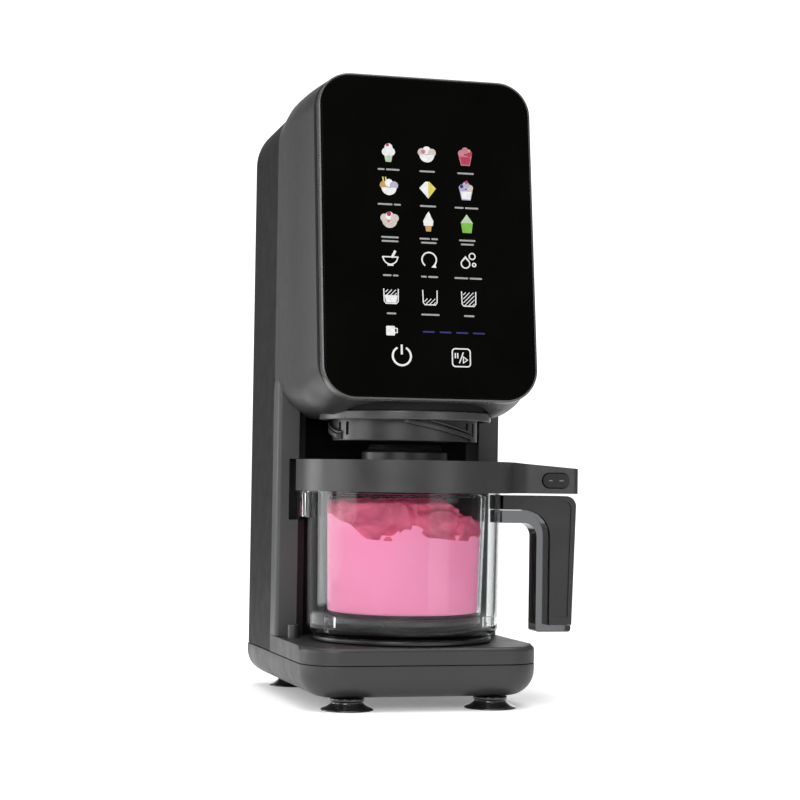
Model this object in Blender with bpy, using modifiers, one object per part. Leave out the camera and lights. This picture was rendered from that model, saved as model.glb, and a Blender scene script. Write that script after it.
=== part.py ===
"""Countertop frozen-dessert maker: a tall machine with a lidded jug on a turntable.

Units are metres and +Z is up. The control panel faces -Y and the jug handle points to +X.
Every piece is modelled about the machine's own centreline (x = 0) and is then moved as one
assembly so that the origin is under the middle of its bounding box.
"""
import math

import bmesh
import bpy
from mathutils import Matrix, Vector

# ---- driving sizes ------------------------------------------------------------------------
HALF_WIDTH = 0.0783        # half the width of the case
REAR_Y = 0.095             # back of the rear shell
REAR_R = 0.009             # rounding of the edges at the back
ROLL_R = 0.017             # rolled lower edge of the base
SEAM_Y = 0.012             # joint line between the rear shell and the front parts
COLUMN_Y = -0.003          # front face of the column beside the jug bay
BASE_FRONT_Y = -0.1033
PAN_Z = 0.0081             # underside of the base
BASE_SEAM_Z = 0.0295       # joint line around the base
DECK_Z = 0.0406            # top of the base
HEAD_Z = 0.187             # underside of the head at its rear
TOP_Z = 0.410
ROOF_SLOPE = 0.0526        # fall of the roof per metre toward the back
GAP = 0.0003               # assembly gap between neighbouring pieces
WALL = 0.0025

AXIS_Y = -0.040            # upright axis of the jug, turntable, collar and spindle
ROUND = 40                 # facets of the large turned pieces

PANEL_LEAN = math.atan(0.133)
PANEL_Y = -0.1043          # lower front edge of the glass
PANEL_Z = 0.1995
PANEL_HALF = 0.070
PANEL_LEN = (0.4083 - PANEL_Z) / math.cos(PANEL_LEAN)
PANEL_R = 0.0205

BAY_R = 0.0735
LINER_R = 0.0763
WELL_R = 0.052

JUG_BASE_Z = 0.0447
JUG_R = 0.0645
LID_Z = 0.139
LID_TOP_Z = 0.1596
LID_R = 0.072
RECESS_R = 0.057
HANDLE_END_X = 0.119

COLLAR_Z = 0.172
COLLAR_R = 0.048
COLLAR_RIBS = 3

MODULE = 0.0015            # gear tooth module
GEAR_TEETH = 40
PINION_TEETH = 14
MOTOR_Y = AXIS_Y + MODULE * (GEAR_TEETH + PINION_TEETH) / 2
SCREW_Y = 0.052
ROD_X = 0.040
ROD_Y = 0.020
PIN_XY = (-0.068, -0.015)
FOOT_X = 0.0478
FOOT_YS = (-0.084, 0.074)

OFFSET = Vector((-(HANDLE_END_X - HALF_WIDTH) / 2, -(REAR_Y + AXIS_Y - LID_R) / 2, 0.0))

# ---- clean start and collections ----------------------------------------------------------
for old in list(bpy.data.objects):
    bpy.data.objects.remove(old, do_unlink=True)


def new_collection(name):
    """Makes a collection in the scene."""
    made = bpy.data.collections.new(name)
    bpy.context.scene.collection.children.link(made)
    return made


PARTS = new_collection("ice_cream_maker")
CUTTERS = new_collection("ice_cream_maker_cutters")


# ---- materials ----------------------------------------------------------------------------
def material(name, rgb, rough, metal=0.0, alpha=1.0):
    """A Principled material."""
    mat = bpy.data.materials.new(name)
    mat.use_nodes = True
    shader = mat.node_tree.nodes["Principled BSDF"]
    shader.inputs["Base Color"].default_value = (*rgb, 1.0)
    shader.inputs["Roughness"].default_value = rough
    shader.inputs["Metallic"].default_value = metal
    shader.inputs["Alpha"].default_value = alpha
    return mat


CHARCOAL = ((0.035, 0.035, 0.037), 0.45)
DARK = ((0.012, 0.012, 0.013), 0.55)
CLEAR = ((0.85, 0.87, 0.88), 0.08, 0.0, 0.3)
STEEL = ((0.62, 0.62, 0.64), 0.3, 1.0)


# ---- object helpers -----------------------------------------------------------------------
def finish(name, bm, look, origin=(0.0, 0.0, 0.0), collection=None):
    """Turns a bmesh into a named object whose origin is at the given point."""
    bmesh.ops.remove_doubles(bm, verts=bm.verts[:], dist=1e-7)
    bmesh.ops.recalc_face_normals(bm, faces=bm.faces[:])
    bmesh.ops.translate(bm, verts=bm.verts[:], vec=-Vector(origin))
    mesh = bpy.data.meshes.new(name)
    bm.to_mesh(mesh)
    bm.free()
    obj = bpy.data.objects.new(name, mesh)
    obj.location = Vector(origin)
    (collection or PARTS).objects.link(obj)
    if look is not None:
        mesh.materials.append(material(name, *look))
    return obj


def cutter(name, bm):
    """A closed form that is only used to cut or join."""
    obj = finish(name, bm, None, collection=CUTTERS)
    obj.hide_render = True
    obj.display_type = "WIRE"
    return obj


def boolean(obj, form, operation="DIFFERENCE"):
    """Adds an exact boolean."""
    mod = obj.modifiers.new(form.name, "BOOLEAN")
    mod.object = form
    mod.operation = operation
    mod.solver = "EXACT"
    return mod


def shell(obj, thickness=WALL):
    """Gives an open skin an inward wall."""
    mod = obj.modifiers.new("wall", "SOLIDIFY")
    mod.thickness = thickness
    mod.offset = -1.0
    mod.use_even_offset = True
    return mod


# ---- shape helpers ------------------------------------------------------------------------
def box(x0, x1, y0, y1, z0, z1):
    """A plain block."""
    bm = bmesh.new()
    bmesh.ops.create_cube(bm, size=1.0)
    for v in bm.verts:
        v.co = Vector(((x0 + x1) / 2 + v.co.x * (x1 - x0),
                       (y0 + y1) / 2 + v.co.y * (y1 - y0),
                       (z0 + z1) / 2 + v.co.z * (z1 - z0)))
    return bm


def bevel(bm, chosen, radius, segments):
    """Rounds the edges that a test picks."""
    edges = [e for e in bm.edges if chosen(e.verts[0].co, e.verts[1].co)]
    bmesh.ops.bevel(bm, geom=edges, offset=radius, segments=segments, profile=0.5,
                    affect="EDGES", clamp_overlap=True)


def near(a, b):
    return abs(a - b) < 1e-5


def upright(a, b):
    return near(a.x, b.x) and near(a.y, b.y)


def cylinder(x, y, z0, z1, radius, facets=24):
    """An upright cylinder."""
    bm = bmesh.new()
    bmesh.ops.create_cone(bm, cap_ends=True, cap_tris=False, segments=facets, radius1=radius,
                          radius2=radius, depth=z1 - z0,
                          matrix=Matrix.Translation((x, y, (z0 + z1) / 2)))
    return bm


def join(*forms):
    """Puts several closed forms in one bmesh."""
    out = bmesh.new()
    for form in forms:
        mesh = bpy.data.meshes.new("tmp")
        form.to_mesh(mesh)
        form.free()
        out.from_mesh(mesh)
        bpy.data.meshes.remove(mesh)
    return out


def turned(profile, facets=ROUND, x=0.0, y=AXIS_Y, closed=False):
    """A turned form. The profile is (radius, height) points from axis to axis, or a loop."""
    bm = bmesh.new()
    verts = [bm.verts.new((r, 0.0, z)) for r, z in profile]
    pairs = list(zip(verts, verts[1:])) + ([(verts[-1], verts[0])] if closed else [])
    edges = [bm.edges.new(pair) for pair in pairs]
    bmesh.ops.spin(bm, geom=verts + edges, cent=(0, 0, 0), axis=(0, 0, 1), dvec=(0, 0, 0),
                   angle=2 * math.pi, steps=facets, use_merge=True)
    bmesh.ops.remove_doubles(bm, verts=bm.verts[:], dist=1e-6)
    bmesh.ops.translate(bm, verts=bm.verts[:], vec=(x, y, 0.0))
    return bm


def prism(outline, low, high, up="Z"):
    """Extrudes a flat outline along an axis ("Z" takes x, y and "Y" takes x, z)."""
    bm = bmesh.new()
    place = (lambda a, b, h: (a, b, h)) if up == "Z" else (lambda a, b, h: (a, h, b))
    verts = [bm.verts.new(place(a, b, low)) for a, b in outline]
    face = bm.faces.new(verts)
    made = bmesh.ops.extrude_face_region(bm, geom=[face])["geom"]
    shift = (0, 0, high - low) if up == "Z" else (0, high - low, 0)
    bmesh.ops.translate(bm, verts=[g for g in made if isinstance(g, bmesh.types.BMVert)], vec=shift)
    return bm


def loft(rings, cyclic=False):
    """Bridges rings of points; the ends are capped unless the rings close on themselves."""
    bm = bmesh.new()
    loops = []
    for ring in rings:
        verts = [bm.verts.new(p) for p in ring]
        loops.append([bm.edges.new((a, b)) for a, b in zip(verts, verts[1:] + verts[:1])])
    pairs = list(zip(loops, loops[1:])) + ([(loops[-1], loops[0])] if cyclic else [])
    for first, second in pairs:
        bmesh.ops.bridge_loops(bm, edges=first + second)
    if not cyclic:
        for loop in (loops[0], loops[-1]):
            bmesh.ops.contextual_create(bm, geom=loop)
    return bm


def arc(cx, cy, radius, start, end, steps):
    """Points along an arc, in degrees."""
    return [(cx + radius * math.cos(math.radians(start + (end - start) * i / steps)),
             cy + radius * math.sin(math.radians(start + (end - start) * i / steps)))
            for i in range(steps + 1)]


def rounded_rect(half, low, high, r_top, r_low, steps=5):
    """An upright rounded rectangle, centred on x = 0."""
    return (arc(half - r_low, low + r_low, r_low, -90, 0, steps)
            + arc(half - r_top, high - r_top, r_top, 0, 90, steps)
            + arc(-half + r_top, high - r_top, r_top, 90, 180, steps)
            + arc(-half + r_low, low + r_low, r_low, 180, 270, steps))


def roof(y):
    """Height of the roof at a depth."""
    return TOP_Z - 0.0003 - ROOF_SLOPE * (y - PANEL_Y - 0.0281)


# ---- base ---------------------------------------------------------------------------------
def base_pan():
    """Lower tray of the base with a large rolled edge."""
    rings = []
    for step in range(6):
        angle = math.radians(90 * min(step, 4) / 4)
        inset = ROLL_R * (1 - math.sin(angle))
        z = PAN_Z + ROLL_R * (1 - math.cos(angle)) if step < 5 else BASE_SEAM_Z - GAP
        plan = rounded_rect(HALF_WIDTH - inset, BASE_FRONT_Y + inset, REAR_Y - inset,
                            max(REAR_R - inset, 0.004), 0.025 - inset)
        rings.append([(x, y, z) for x, y in plan])
    bm = loft(rings)
    top = [f for f in bm.faces if all(near(v.co.z, BASE_SEAM_Z - GAP) for v in f.verts)]
    bmesh.ops.delete(bm, geom=top, context="FACES")
    shell(finish("base_pan", bm, CHARCOAL))


def stepped_plan(inset=0.0, front=BASE_FRONT_Y, corner=0.025, back=0.0395):
    """Plan of the pieces that tuck into the rear shell behind the joint line."""
    wide, narrow = HALF_WIDTH - inset, HALF_WIDTH - WALL - 0.0005 - inset
    right = [(narrow, back - inset), (narrow, SEAM_Y - GAP), (wide, SEAM_Y - GAP)]
    side = arc(wide - corner, front + inset + corner, corner, 0, -90, 5)
    left = [(-x, y) for x, y in reversed(right + side)]
    return right + side + left


def base_deck():
    """Upper part of the base with the round well of the lift platform."""
    bm = prism(stepped_plan(), BASE_SEAM_Z, DECK_Z)
    bevel(bm, lambda a, b: near(a.z, DECK_Z) and near(b.z, DECK_Z)
          and max(a.y, b.y) < SEAM_Y and not near(a.x, -b.x) or
          (near(a.z, DECK_Z) and near(b.z, DECK_Z) and near(a.y, BASE_FRONT_Y)
           and near(b.y, BASE_FRONT_Y)), 0.0025, 2)
    low = [f for f in bm.faces if all(near(v.co.z, BASE_SEAM_Z) for v in f.verts)]
    bmesh.ops.delete(bm, geom=low, context="FACES")
    obj = finish("base_deck", bm, CHARCOAL)
    shell(obj)
    boolean(obj, cutter("well_wall", cylinder(0, AXIS_Y, 0.016, 0.0395, WELL_R + 0.0022, ROUND)), "UNION")
    boolean(obj, cutter("well_bore", cylinder(0, AXIS_Y, 0.010, 0.050, WELL_R, ROUND)))
    boolean(obj, cutter("pin_bore", cylinder(*PIN_XY, 0.034, 0.046, 0.0047, 16)))


def feet():
    """Four suction feet."""
    for index, (x, y) in enumerate([(sx * FOOT_X, fy) for fy in FOOT_YS for sx in (-1, 1)]):
        profile = [(0.0, PAN_Z - GAP), (0.0115, PAN_Z - GAP), (0.0115, 0.0042), (0.0130, 0.0030),
                   (0.0170, 0.0011), (0.0170, 0.0), (0.0154, 0.0), (0.0120, 0.0012), (0.0, 0.0020)]
        finish("foot_%d" % (index + 1), turned(profile, 24, x, y), ((0.01, 0.01, 0.01), 0.2),
               origin=(x, y, 0.0))


# ---- column and shells --------------------------------------------------------------------
def head_rings(grow=0.0):
    """Cross sections of the head from the joint line to the panel."""
    def leaning(behind, half, low, high, radius):
        ring = rounded_rect(half + grow, low - grow, high + grow, radius, radius)
        return [(x, PANEL_Y + 0.133 * (z - PANEL_Z) + behind, z) for x, z in ring]

    rear = rounded_rect(HALF_WIDTH - 0.0006 + grow, HEAD_Z - grow, roof(SEAM_Y) - 0.0006 + grow, 0.031, 0.031)
    near_rear = rounded_rect(HALF_WIDTH + grow, HEAD_Z - grow, roof(SEAM_Y) + grow, 0.031, 0.031)
    return [[(x, SEAM_Y - GAP + grow, z) for x, z in rear],
            [(x, SEAM_Y - 0.0016, z) for x, z in near_rear],
            leaning(0.036, HALF_WIDTH, 0.1885, 0.4078, 0.029),
            leaning(0.018, 0.0772, 0.1910, 0.4088, 0.026),
            leaning(0.0066, 0.0730, 0.1962, 0.40955, 0.0225)]


def column_front():
    """Column beside and behind the jug bay, scooped at the top to seat the head."""
    bm = prism(stepped_plan(front=COLUMN_Y, corner=0.003), DECK_Z + GAP, 0.222)
    obj = finish("column_front", bm, CHARCOAL)
    sides = [arc(0, AXIS_Y, 0.0792, a, b, 8) + arc(0, AXIS_Y, 0.0700, b, a, 8)
             for a, b in ((22, 42), (138, 158))]
    relief = join(*[prism(side, 0.119, 0.1600) for side in sides])
    boolean(obj, cutter("bay_bore", cylinder(0, AXIS_Y, 0.030, 0.240, BAY_R, 64)))
    boolean(obj, cutter("lid_relief", relief))
    plan = arc(0, AXIS_Y, LINER_R, 33, 147, 24)
    plan = plan + [(-0.050, AXIS_Y + 0.02), (0.050, AXIS_Y + 0.02)]
    boolean(obj, cutter("liner_pocket", prism(plan, 0.030, 0.240)))
    boolean(obj, cutter("ceiling_gap", box(-0.064, 0.064, -0.02, 0.05, 0.1867, 0.240)))
    boolean(obj, cutter("head_seat", loft(head_rings(GAP))))


def bay_liner():
    """Black curved lining at the back of the jug bay."""
    plan = (arc(0, AXIS_Y, BAY_R + 0.0001, 34, 146, 24)
            + arc(0, AXIS_Y, LINER_R - GAP, 146, 34, 24))
    finish("bay_liner", prism(plan, DECK_Z + GAP, 0.1864), DARK)


def rear_shell():
    """Rear half of the case, open to the front and below."""
    bm = box(-HALF_WIDTH, HALF_WIDTH, SEAM_Y, REAR_Y, BASE_SEAM_Z, TOP_Z)
    for v in bm.verts:
        if v.co.z > 0.3:
            v.co.z = roof(v.co.y)
    bevel(bm, lambda a, b: near(a.x, b.x) and a.z > 0.3 and b.z > 0.3, 0.031, 5)
    bevel(bm, lambda a, b: near(a.y, REAR_Y) and near(b.y, REAR_Y)
          and not (near(a.z, BASE_SEAM_Z) and near(b.z, BASE_SEAM_Z)), REAR_R, 5)
    gone = [f for f in bm.faces if all(near(v.co.y, SEAM_Y) for v in f.verts)
            or all(near(v.co.z, BASE_SEAM_Z) for v in f.verts)]
    bmesh.ops.delete(bm, geom=gone, context="FACES")
    obj = finish("rear_shell", bm, CHARCOAL)
    shell(obj)
    slots = [box(-0.034, 0.034, REAR_Y - 0.010, REAR_Y + 0.01, z, z + 0.003)
             for z in [0.070 + 0.009 * i for i in range(6)]]
    boolean(obj, cutter("vent_slots", join(*slots)))
    bore = cylinder(0, 0, -0.01, 0.01, 0.0063, 20)
    bmesh.ops.rotate(bore, verts=bore.verts[:], cent=(0, 0, 0), matrix=Matrix.Rotation(math.pi / 2, 3, "X"))
    bmesh.ops.translate(bore, verts=bore.verts[:], vec=(0.040, REAR_Y, 0.048))
    boolean(obj, cutter("gland_bore", bore))


def cord_gland():
    """Bush in the back wall where a supply lead would enter."""
    profile = [(0.0035, 0.0), (0.0035, 0.0110), (0.0060, 0.0110), (0.0060, 0.0)]
    bm = turned(profile, 20, 0.0, 0.0, closed=True)
    bmesh.ops.rotate(bm, verts=bm.verts[:], cent=(0, 0, 0), matrix=Matrix.Rotation(math.pi / 2, 3, "X"))
    bmesh.ops.translate(bm, verts=bm.verts[:], vec=(0.040, REAR_Y - 0.0006, 0.048))
    finish("cord_gland", bm, DARK)


def head_shell():
    """Head of the machine, open at the back and at the panel, with the collar hole below."""
    bm = loft(head_rings())
    ends = [f for f in bm.faces if len(f.verts) > 8]
    bmesh.ops.delete(bm, geom=ends, context="FACES")
    obj = finish("head_shell", bm, CHARCOAL)
    shell(obj)
    boolean(obj, cutter("collar_hole", cylinder(0, AXIS_Y, 0.180, 0.206, 0.0573, ROUND)))


# ---- control panel ------------------------------------------------------------------------
def panel_ring(half, low, high, radius, depth):
    """A rounded outline in the leaning plane of the panel."""
    lean = Matrix.Rotation(-PANEL_LEAN, 3, "X")
    base = Vector((0, PANEL_Y, PANEL_Z))
    return [tuple(base + lean @ Vector((x, depth, v))) for x, v in
            rounded_rect(half, low, high, radius, radius)]


def control_panel():
    """Glass front, its rim and the board behind it."""
    lip = 0.0008
    finish("control_panel", loft([
        panel_ring(PANEL_HALF - lip, lip, PANEL_LEN - lip, PANEL_R - lip, 0.0),
        panel_ring(PANEL_HALF, 0.0, PANEL_LEN, PANEL_R, lip),
        panel_ring(PANEL_HALF, 0.0, PANEL_LEN, PANEL_R, 0.0030)]), ((0.004, 0.004, 0.005), 0.06))
    grow = 0.0017
    inner = dict(half=PANEL_HALF + GAP, low=-GAP, high=PANEL_LEN + GAP, radius=PANEL_R + GAP)
    outer = dict(half=PANEL_HALF + grow, low=-grow, high=PANEL_LEN + grow, radius=PANEL_R + grow)
    rings = [panel_ring(depth=0.0009, **outer), panel_ring(depth=0.0062, **outer),
             panel_ring(depth=0.0062, **inner), panel_ring(depth=0.0009, **inner)]
    finish("panel_bezel", loft(rings, cyclic=True), ((0.06, 0.06, 0.062), 0.35))
    finish("display_board", loft([panel_ring(0.052, 0.016, PANEL_LEN - 0.016, 0.004, 0.0066),
                                  panel_ring(0.052, 0.016, PANEL_LEN - 0.016, 0.004, 0.0082)]),
           ((0.02, 0.10, 0.05), 0.5))


# ---- collar -------------------------------------------------------------------------------
def helical_rib(start, sweep, z_high, z_low, steps=10):
    """One ramp around the collar."""
    rings = []
    for i in range(steps + 1):
        angle = math.radians(start + sweep * i / steps)
        mid = z_high + (z_low - z_high) * i / steps
        section = ((0.0462, -0.0017), (0.0512, -0.0017), (0.0512, 0.0017), (0.0462, 0.0017))
        rings.append([(r * math.cos(angle), AXIS_Y + r * math.sin(angle), mid + dz) for r, dz in section])
    return loft(rings)


def lock_collar():
    """Ring under the head: flange, cylinder, helical ramps and slots."""
    profile = [(0.0440, 0.1927), (0.0520, 0.1927), (0.0520, 0.1873), (COLLAR_R, 0.1866),
               (COLLAR_R, COLLAR_Z + 0.0008), (COLLAR_R - 0.0008, COLLAR_Z), (0.0440, COLLAR_Z)]
    obj = finish("lock_collar", turned(profile, ROUND, closed=True), ((0.05, 0.05, 0.052), 0.4))
    ribs = [helical_rib(-105 + 360 / COLLAR_RIBS * i, 60, 0.1852, 0.1742) for i in range(COLLAR_RIBS)]
    boolean(obj, cutter("collar_ribs", join(*ribs)), "UNION")
    slots = []
    for i in range(COLLAR_RIBS):
        for turn in (-168, -157):
            slot = box(0.040, 0.056, -0.0016, 0.0016, 0.1755, 0.1842)
            bmesh.ops.rotate(slot, verts=slot.verts[:], cent=(0, 0, 0),
                             matrix=Matrix.Rotation(math.radians(turn + 120 * i), 3, "Z"))
            bmesh.ops.translate(slot, verts=slot.verts[:], vec=(0, AXIS_Y, 0))
            slots.append(slot)
    boolean(obj, cutter("collar_slots", join(*slots)))
    trim = [(0.0525, 0.1882), (0.0525, 0.1927), (0.0570, 0.1927), (0.0570, 0.1882)]
    finish("collar_trim", turned(trim, ROUND, closed=True), ((0.05, 0.05, 0.052), 0.3))


# ---- drive --------------------------------------------------------------------------------
def gear(name, teeth, x, y, z0, z1, bore, phase):
    """A spur gear with a plain bore."""
    pitch = MODULE * teeth / 2
    outline = []
    for i in range(teeth):
        for share, radius in ((-0.36, pitch - 1.15 * MODULE), (-0.13, pitch + 0.75 * MODULE),
                              (0.13, pitch + 0.75 * MODULE), (0.36, pitch - 1.15 * MODULE)):
            angle = 2 * math.pi * (i + share + phase) / teeth
            outline.append((x + radius * math.cos(angle), y + radius * math.sin(angle)))
    obj = finish(name, prism(outline, z0, z1), ((0.75, 0.74, 0.70), 0.5), origin=(x, y, z0))
    boolean(obj, cutter(name + "_bore", cylinder(x, y, z0 - 0.002, z1 + 0.002, bore, 20)))


def drive():
    """Chassis, guides, feed and the motor carriage with its spindle."""
    chassis = finish("chassis_plate", box(-0.058, 0.058, -0.062, 0.066, 0.193, 0.196), STEEL)
    boolean(chassis, cutter("chassis_hole", cylinder(0, AXIS_Y, 0.190, 0.199, 0.0465, ROUND)))
    for name, x in (("guide_rod_left", -ROD_X), ("guide_rod_right", ROD_X)):
        finish(name, cylinder(x, ROD_Y, 0.196 + GAP, 0.3737, 0.004, 16), STEEL)
    finish("top_bridge", box(-0.052, 0.052, 0.004, 0.066, 0.374, 0.377), STEEL)
    finish("feed_motor", cylinder(0, SCREW_Y, 0.377 + GAP, 0.396, 0.013, 24), STEEL)
    finish("feed_screw", cylinder(0, SCREW_Y, 0.196 + GAP, 0.3737, 0.004, 16), STEEL,
           origin=(0, SCREW_Y, 0.196))
    plate = finish("carriage_plate", box(-0.052, 0.052, -0.062, 0.064, 0.280, 0.286), STEEL)
    holes = [cylinder(-ROD_X, ROD_Y, 0.27, 0.30, 0.0047, 16), cylinder(ROD_X, ROD_Y, 0.27, 0.30, 0.0047, 16),
             cylinder(0, SCREW_Y, 0.27, 0.30, 0.0048, 16), cylinder(0, AXIS_Y, 0.27, 0.30, 0.0086, 24),
             cylinder(0, MOTOR_Y, 0.27, 0.30, 0.0038, 16)]
    boolean(plate, cutter("carriage_holes", join(*holes)))
    can = [(0.0, 0.352), (0.022, 0.352), (0.027, 0.348), (0.027, 0.2863), (0.0, 0.2863)]
    finish("main_motor", turned(can, 32, 0.0, MOTOR_Y), STEEL)
    nut = [(0.0048, 0.2863), (0.0048, 0.2945), (0.0090, 0.2945), (0.0090, 0.2863)]
    finish("feed_nut", turned(nut, 16, 0.0, SCREW_Y, closed=True), ((0.55, 0.40, 0.16), 0.35, 1.0))

    def ring(radius, z, six):
        pts = []
        for i in range(24):
            angle = math.radians(15 * i)
            flat = math.cos(math.pi / 6) / math.cos((angle % (math.pi / 3)) - math.pi / 6) if six else 1.0
            pts.append((radius * flat * math.cos(angle), AXIS_Y + radius * flat * math.sin(angle), z))
        return pts

    shaft = loft([ring(0.0052, 0.175, True), ring(0.0065, 0.177, True), ring(0.0065, 0.214, True),
                  ring(0.0080, 0.217, False), ring(0.0080, 0.292, False)])
    finish("spindle_shaft", shaft, STEEL, origin=(0, AXIS_Y, 0.175))
    gear("spindle_gear", GEAR_TEETH, 0.0, AXIS_Y, 0.266, 0.276, 0.0083, 0.0)
    gear("motor_pinion", PINION_TEETH, 0.0, MOTOR_Y, 0.266, 0.276, 0.0033, 0.0)
    finish("motor_shaft", cylinder(0, MOTOR_Y, 0.263, 0.2860, 0.0030, 16), STEEL, origin=(0, MOTOR_Y, 0.263))
    finish("control_board", box(-0.045, 0.045, 0.084, 0.0856, 0.120, 0.190), ((0.02, 0.10, 0.05), 0.5))


# ---- lift, turntable and interlock --------------------------------------------------------
def lift():
    """Lift platform with its skirt, and the turntable on it."""
    platform = [(0.0, 0.0365), (0.0512, 0.0365), (0.0512, 0.0170), (0.0490, 0.0170), (0.0490, 0.0340),
                (0.0, 0.0340)]
    finish("lift_platform", turned(platform), DARK, origin=(0, AXIS_Y, 0.0365))
    table = [(0.0, 0.0444), (0.0575, 0.0444), (0.0590, 0.0434), (0.0590, 0.0412), (0.0500, 0.0409),
             (0.0500, 0.0368), (0.0, 0.0368)]
    finish("turntable", turned(table), DARK, origin=(0, AXIS_Y, 0.0368))


def interlock():
    """Spring pin on the deck and the switch under it."""
    x, y = PIN_XY
    pin = [(0.0, 0.0496), (0.0034, 0.0496), (0.0040, 0.0490), (0.0040, 0.0315), (0.0, 0.0315)]
    finish("interlock_pin", turned(pin, 16, x, y), ((0.05, 0.05, 0.052), 0.25), origin=(x, y, 0.0315))
    finish("interlock_switch", box(x - 0.004, x + 0.006, y - 0.006, y + 0.006, 0.0160, 0.0190), DARK)
    rings, turns, per = [], 4, 10
    for i in range(turns * per + 1):
        angle = 2 * math.pi * i / per
        z = 0.0197 + (0.0309 - 0.0197) * i / (turns * per)
        centre, out = Vector((x, y, z)), Vector((math.cos(angle), math.sin(angle), 0))
        section = [2 * math.pi * k / 5 for k in range(5)]
        rings.append([tuple(centre + out * (0.0028 + 0.0004 * math.cos(t))
                            + Vector((0, 0, 0.0004 * math.sin(t)))) for t in section])
    finish("interlock_spring", loft(rings), STEEL)


# ---- jug ----------------------------------------------------------------------------------
def handle_path(offset):
    """Inner edge of the handle, moved outward by an offset, from the jug to the open end."""
    inner_x, inner_z, radius = 0.091, 0.1190, 0.009
    return ([(0.0660, inner_z + offset)]
            + arc(inner_x - radius, inner_z - radius, radius + offset, 90, 0, 5)
            + [(inner_x + offset, 0.0520)])


def jug():
    """Outer vessel, tub seat, tub, dessert and the two-part handle."""
    cup = [(0.0, JUG_BASE_Z), (0.0590, JUG_BASE_Z), (0.0635, 0.0490), (JUG_R, 0.1470), (0.0615, 0.1470),
           (0.0605, 0.0500), (0.0570, 0.0480), (0.0, 0.0480)]
    obj = finish("outer_jug", turned(cup), CLEAR)
    lug = box(-0.0690, -0.0620, AXIS_Y - 0.009, AXIS_Y + 0.009, 0.1215, 0.1386)
    boolean(obj, cutter("jug_lug", lug), "UNION")
    seat = [(0.0, 0.0567), (0.0515, 0.0567), (0.0515, 0.0530), (0.0460, 0.0483), (0.0, 0.0483)]
    finish("tub_seat", turned(seat), DARK)
    tub = [(0.0, 0.0570), (0.0500, 0.0570), (0.0520, 0.0590), (0.0545, 0.1365), (0.0560, 0.1365),
           (0.0560, 0.1380), (0.0525, 0.1380), (0.0500, 0.0602), (0.0490, 0.0592), (0.0, 0.0592)]
    finish("inner_tub", turned(tub), CLEAR)
    dessert = [(0.0, 0.0595), (0.0485, 0.0595), (0.0494, 0.0610), (0.0512, 0.1180), (0.0470, 0.1262),
               (0.0330, 0.1310), (0.0180, 0.1335), (0.0, 0.1340)]
    finish("ice_cream", turned(dessert), ((0.80, 0.28, 0.42), 0.55))
    strip = handle_path(0.0) + [(0.091, 0.0460), (0.1185, 0.0460), (0.1185, 0.0505), (0.0957, 0.0505)] \
        + list(reversed(handle_path(0.0045)))[1:]
    finish("jug_handle", prism(strip, AXIS_Y - 0.0095, AXIS_Y + 0.0095, "Y"), CLEAR)
    cover = handle_path(0.0048)[:-1] + [(0.0958, 0.0508), (0.1185, 0.0508)] \
        + arc(0.1185 - 0.007, 0.1375 - 0.007, 0.007, 0, 90, 4) + [(0.0660, 0.1375)]
    finish("handle_cover", prism(cover, AXIS_Y - 0.0115, AXIS_Y + 0.0115, "Y"), CHARCOAL)


def lid():
    """Lid rim with its grip, recessed plate, seal, hub and release button."""
    profile = [(LID_R, LID_Z), (LID_R, 0.1578), (LID_R - 0.0018, LID_TOP_Z), (RECESS_R + 0.0008, LID_TOP_Z),
               (RECESS_R, 0.1588), (RECESS_R, 0.1513), (0.0535, 0.1513), (0.0535, 0.1500), (0.0652, 0.1500),
               (0.0652, LID_Z)]
    obj = finish("lid", turned(profile, closed=True), CHARCOAL)
    half = [(0.0590, 0.0385), (0.0700, 0.0255), (0.0820, 0.0185), (0.1000, 0.0160), (0.1170, 0.0145),
            (0.1190, 0.0125)]
    plan = [(x, AXIS_Y - y) for x, y in half] + [(x, AXIS_Y + y) for x, y in reversed(half)]
    grip = prism(plan, LID_Z + 0.0002, LID_TOP_Z - 0.0004)
    for v in grip.verts:
        if v.co.z > 0.15:
            v.co.z -= 0.075 * max(0.0, v.co.x - 0.070)
    tail = cylinder(0, AXIS_Y, 0.130, 0.1499, 0.0655, ROUND)
    plate = [(0.0262, 0.1525), (RECESS_R - 0.0003, 0.1525), (RECESS_R - 0.0003, 0.1516), (0.0532, 0.1516),
             (0.0532, 0.1500), (0.0262, 0.1500)]
    finish("lid_plate", turned(plate, closed=True), CHARCOAL)
    boolean(obj, cutter("lid_grip", grip), "UNION")
    boolean(obj, cutter("rim_pocket", tail))
    pocket = prism(arc(0.1062, 0.1478, 0.0052, -90, 90, 6) + arc(0.0968, 0.1478, 0.0052, 90, 270, 6),
                   AXIS_Y - 0.030, AXIS_Y - 0.0035, "Y")
    boolean(obj, cutter("button_pocket", pocket))
    button = prism(arc(0.1062, 0.1478, 0.0047, -90, 90, 6) + arc(0.0968, 0.1478, 0.0047, 90, 270, 6),
                   AXIS_Y - 0.0168, AXIS_Y - 0.0075, "Y")
    finish("release_button", button, CHARCOAL, origin=(0.1015, AXIS_Y - 0.0168, 0.1478))
    seal = [(0.0605, 0.1473), (0.0605, 0.1497), (0.0648, 0.1497), (0.0648, 0.1473)]
    finish("lid_seal", turned(seal, closed=True), DARK)
    hub = [(0.0150, 0.1500), (0.0256, 0.1500), (0.0256, 0.1527), (0.0285, 0.1528), (0.0285, 0.1645),
           (0.0275, 0.1657), (0.0250, 0.1662), (0.0238, 0.1690), (0.0232, 0.1705), (0.0150, 0.1705)]
    finish("lid_hub", turned(hub, closed=True), ((0.05, 0.05, 0.052), 0.35), origin=(0, AXIS_Y, 0.1528))


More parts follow.
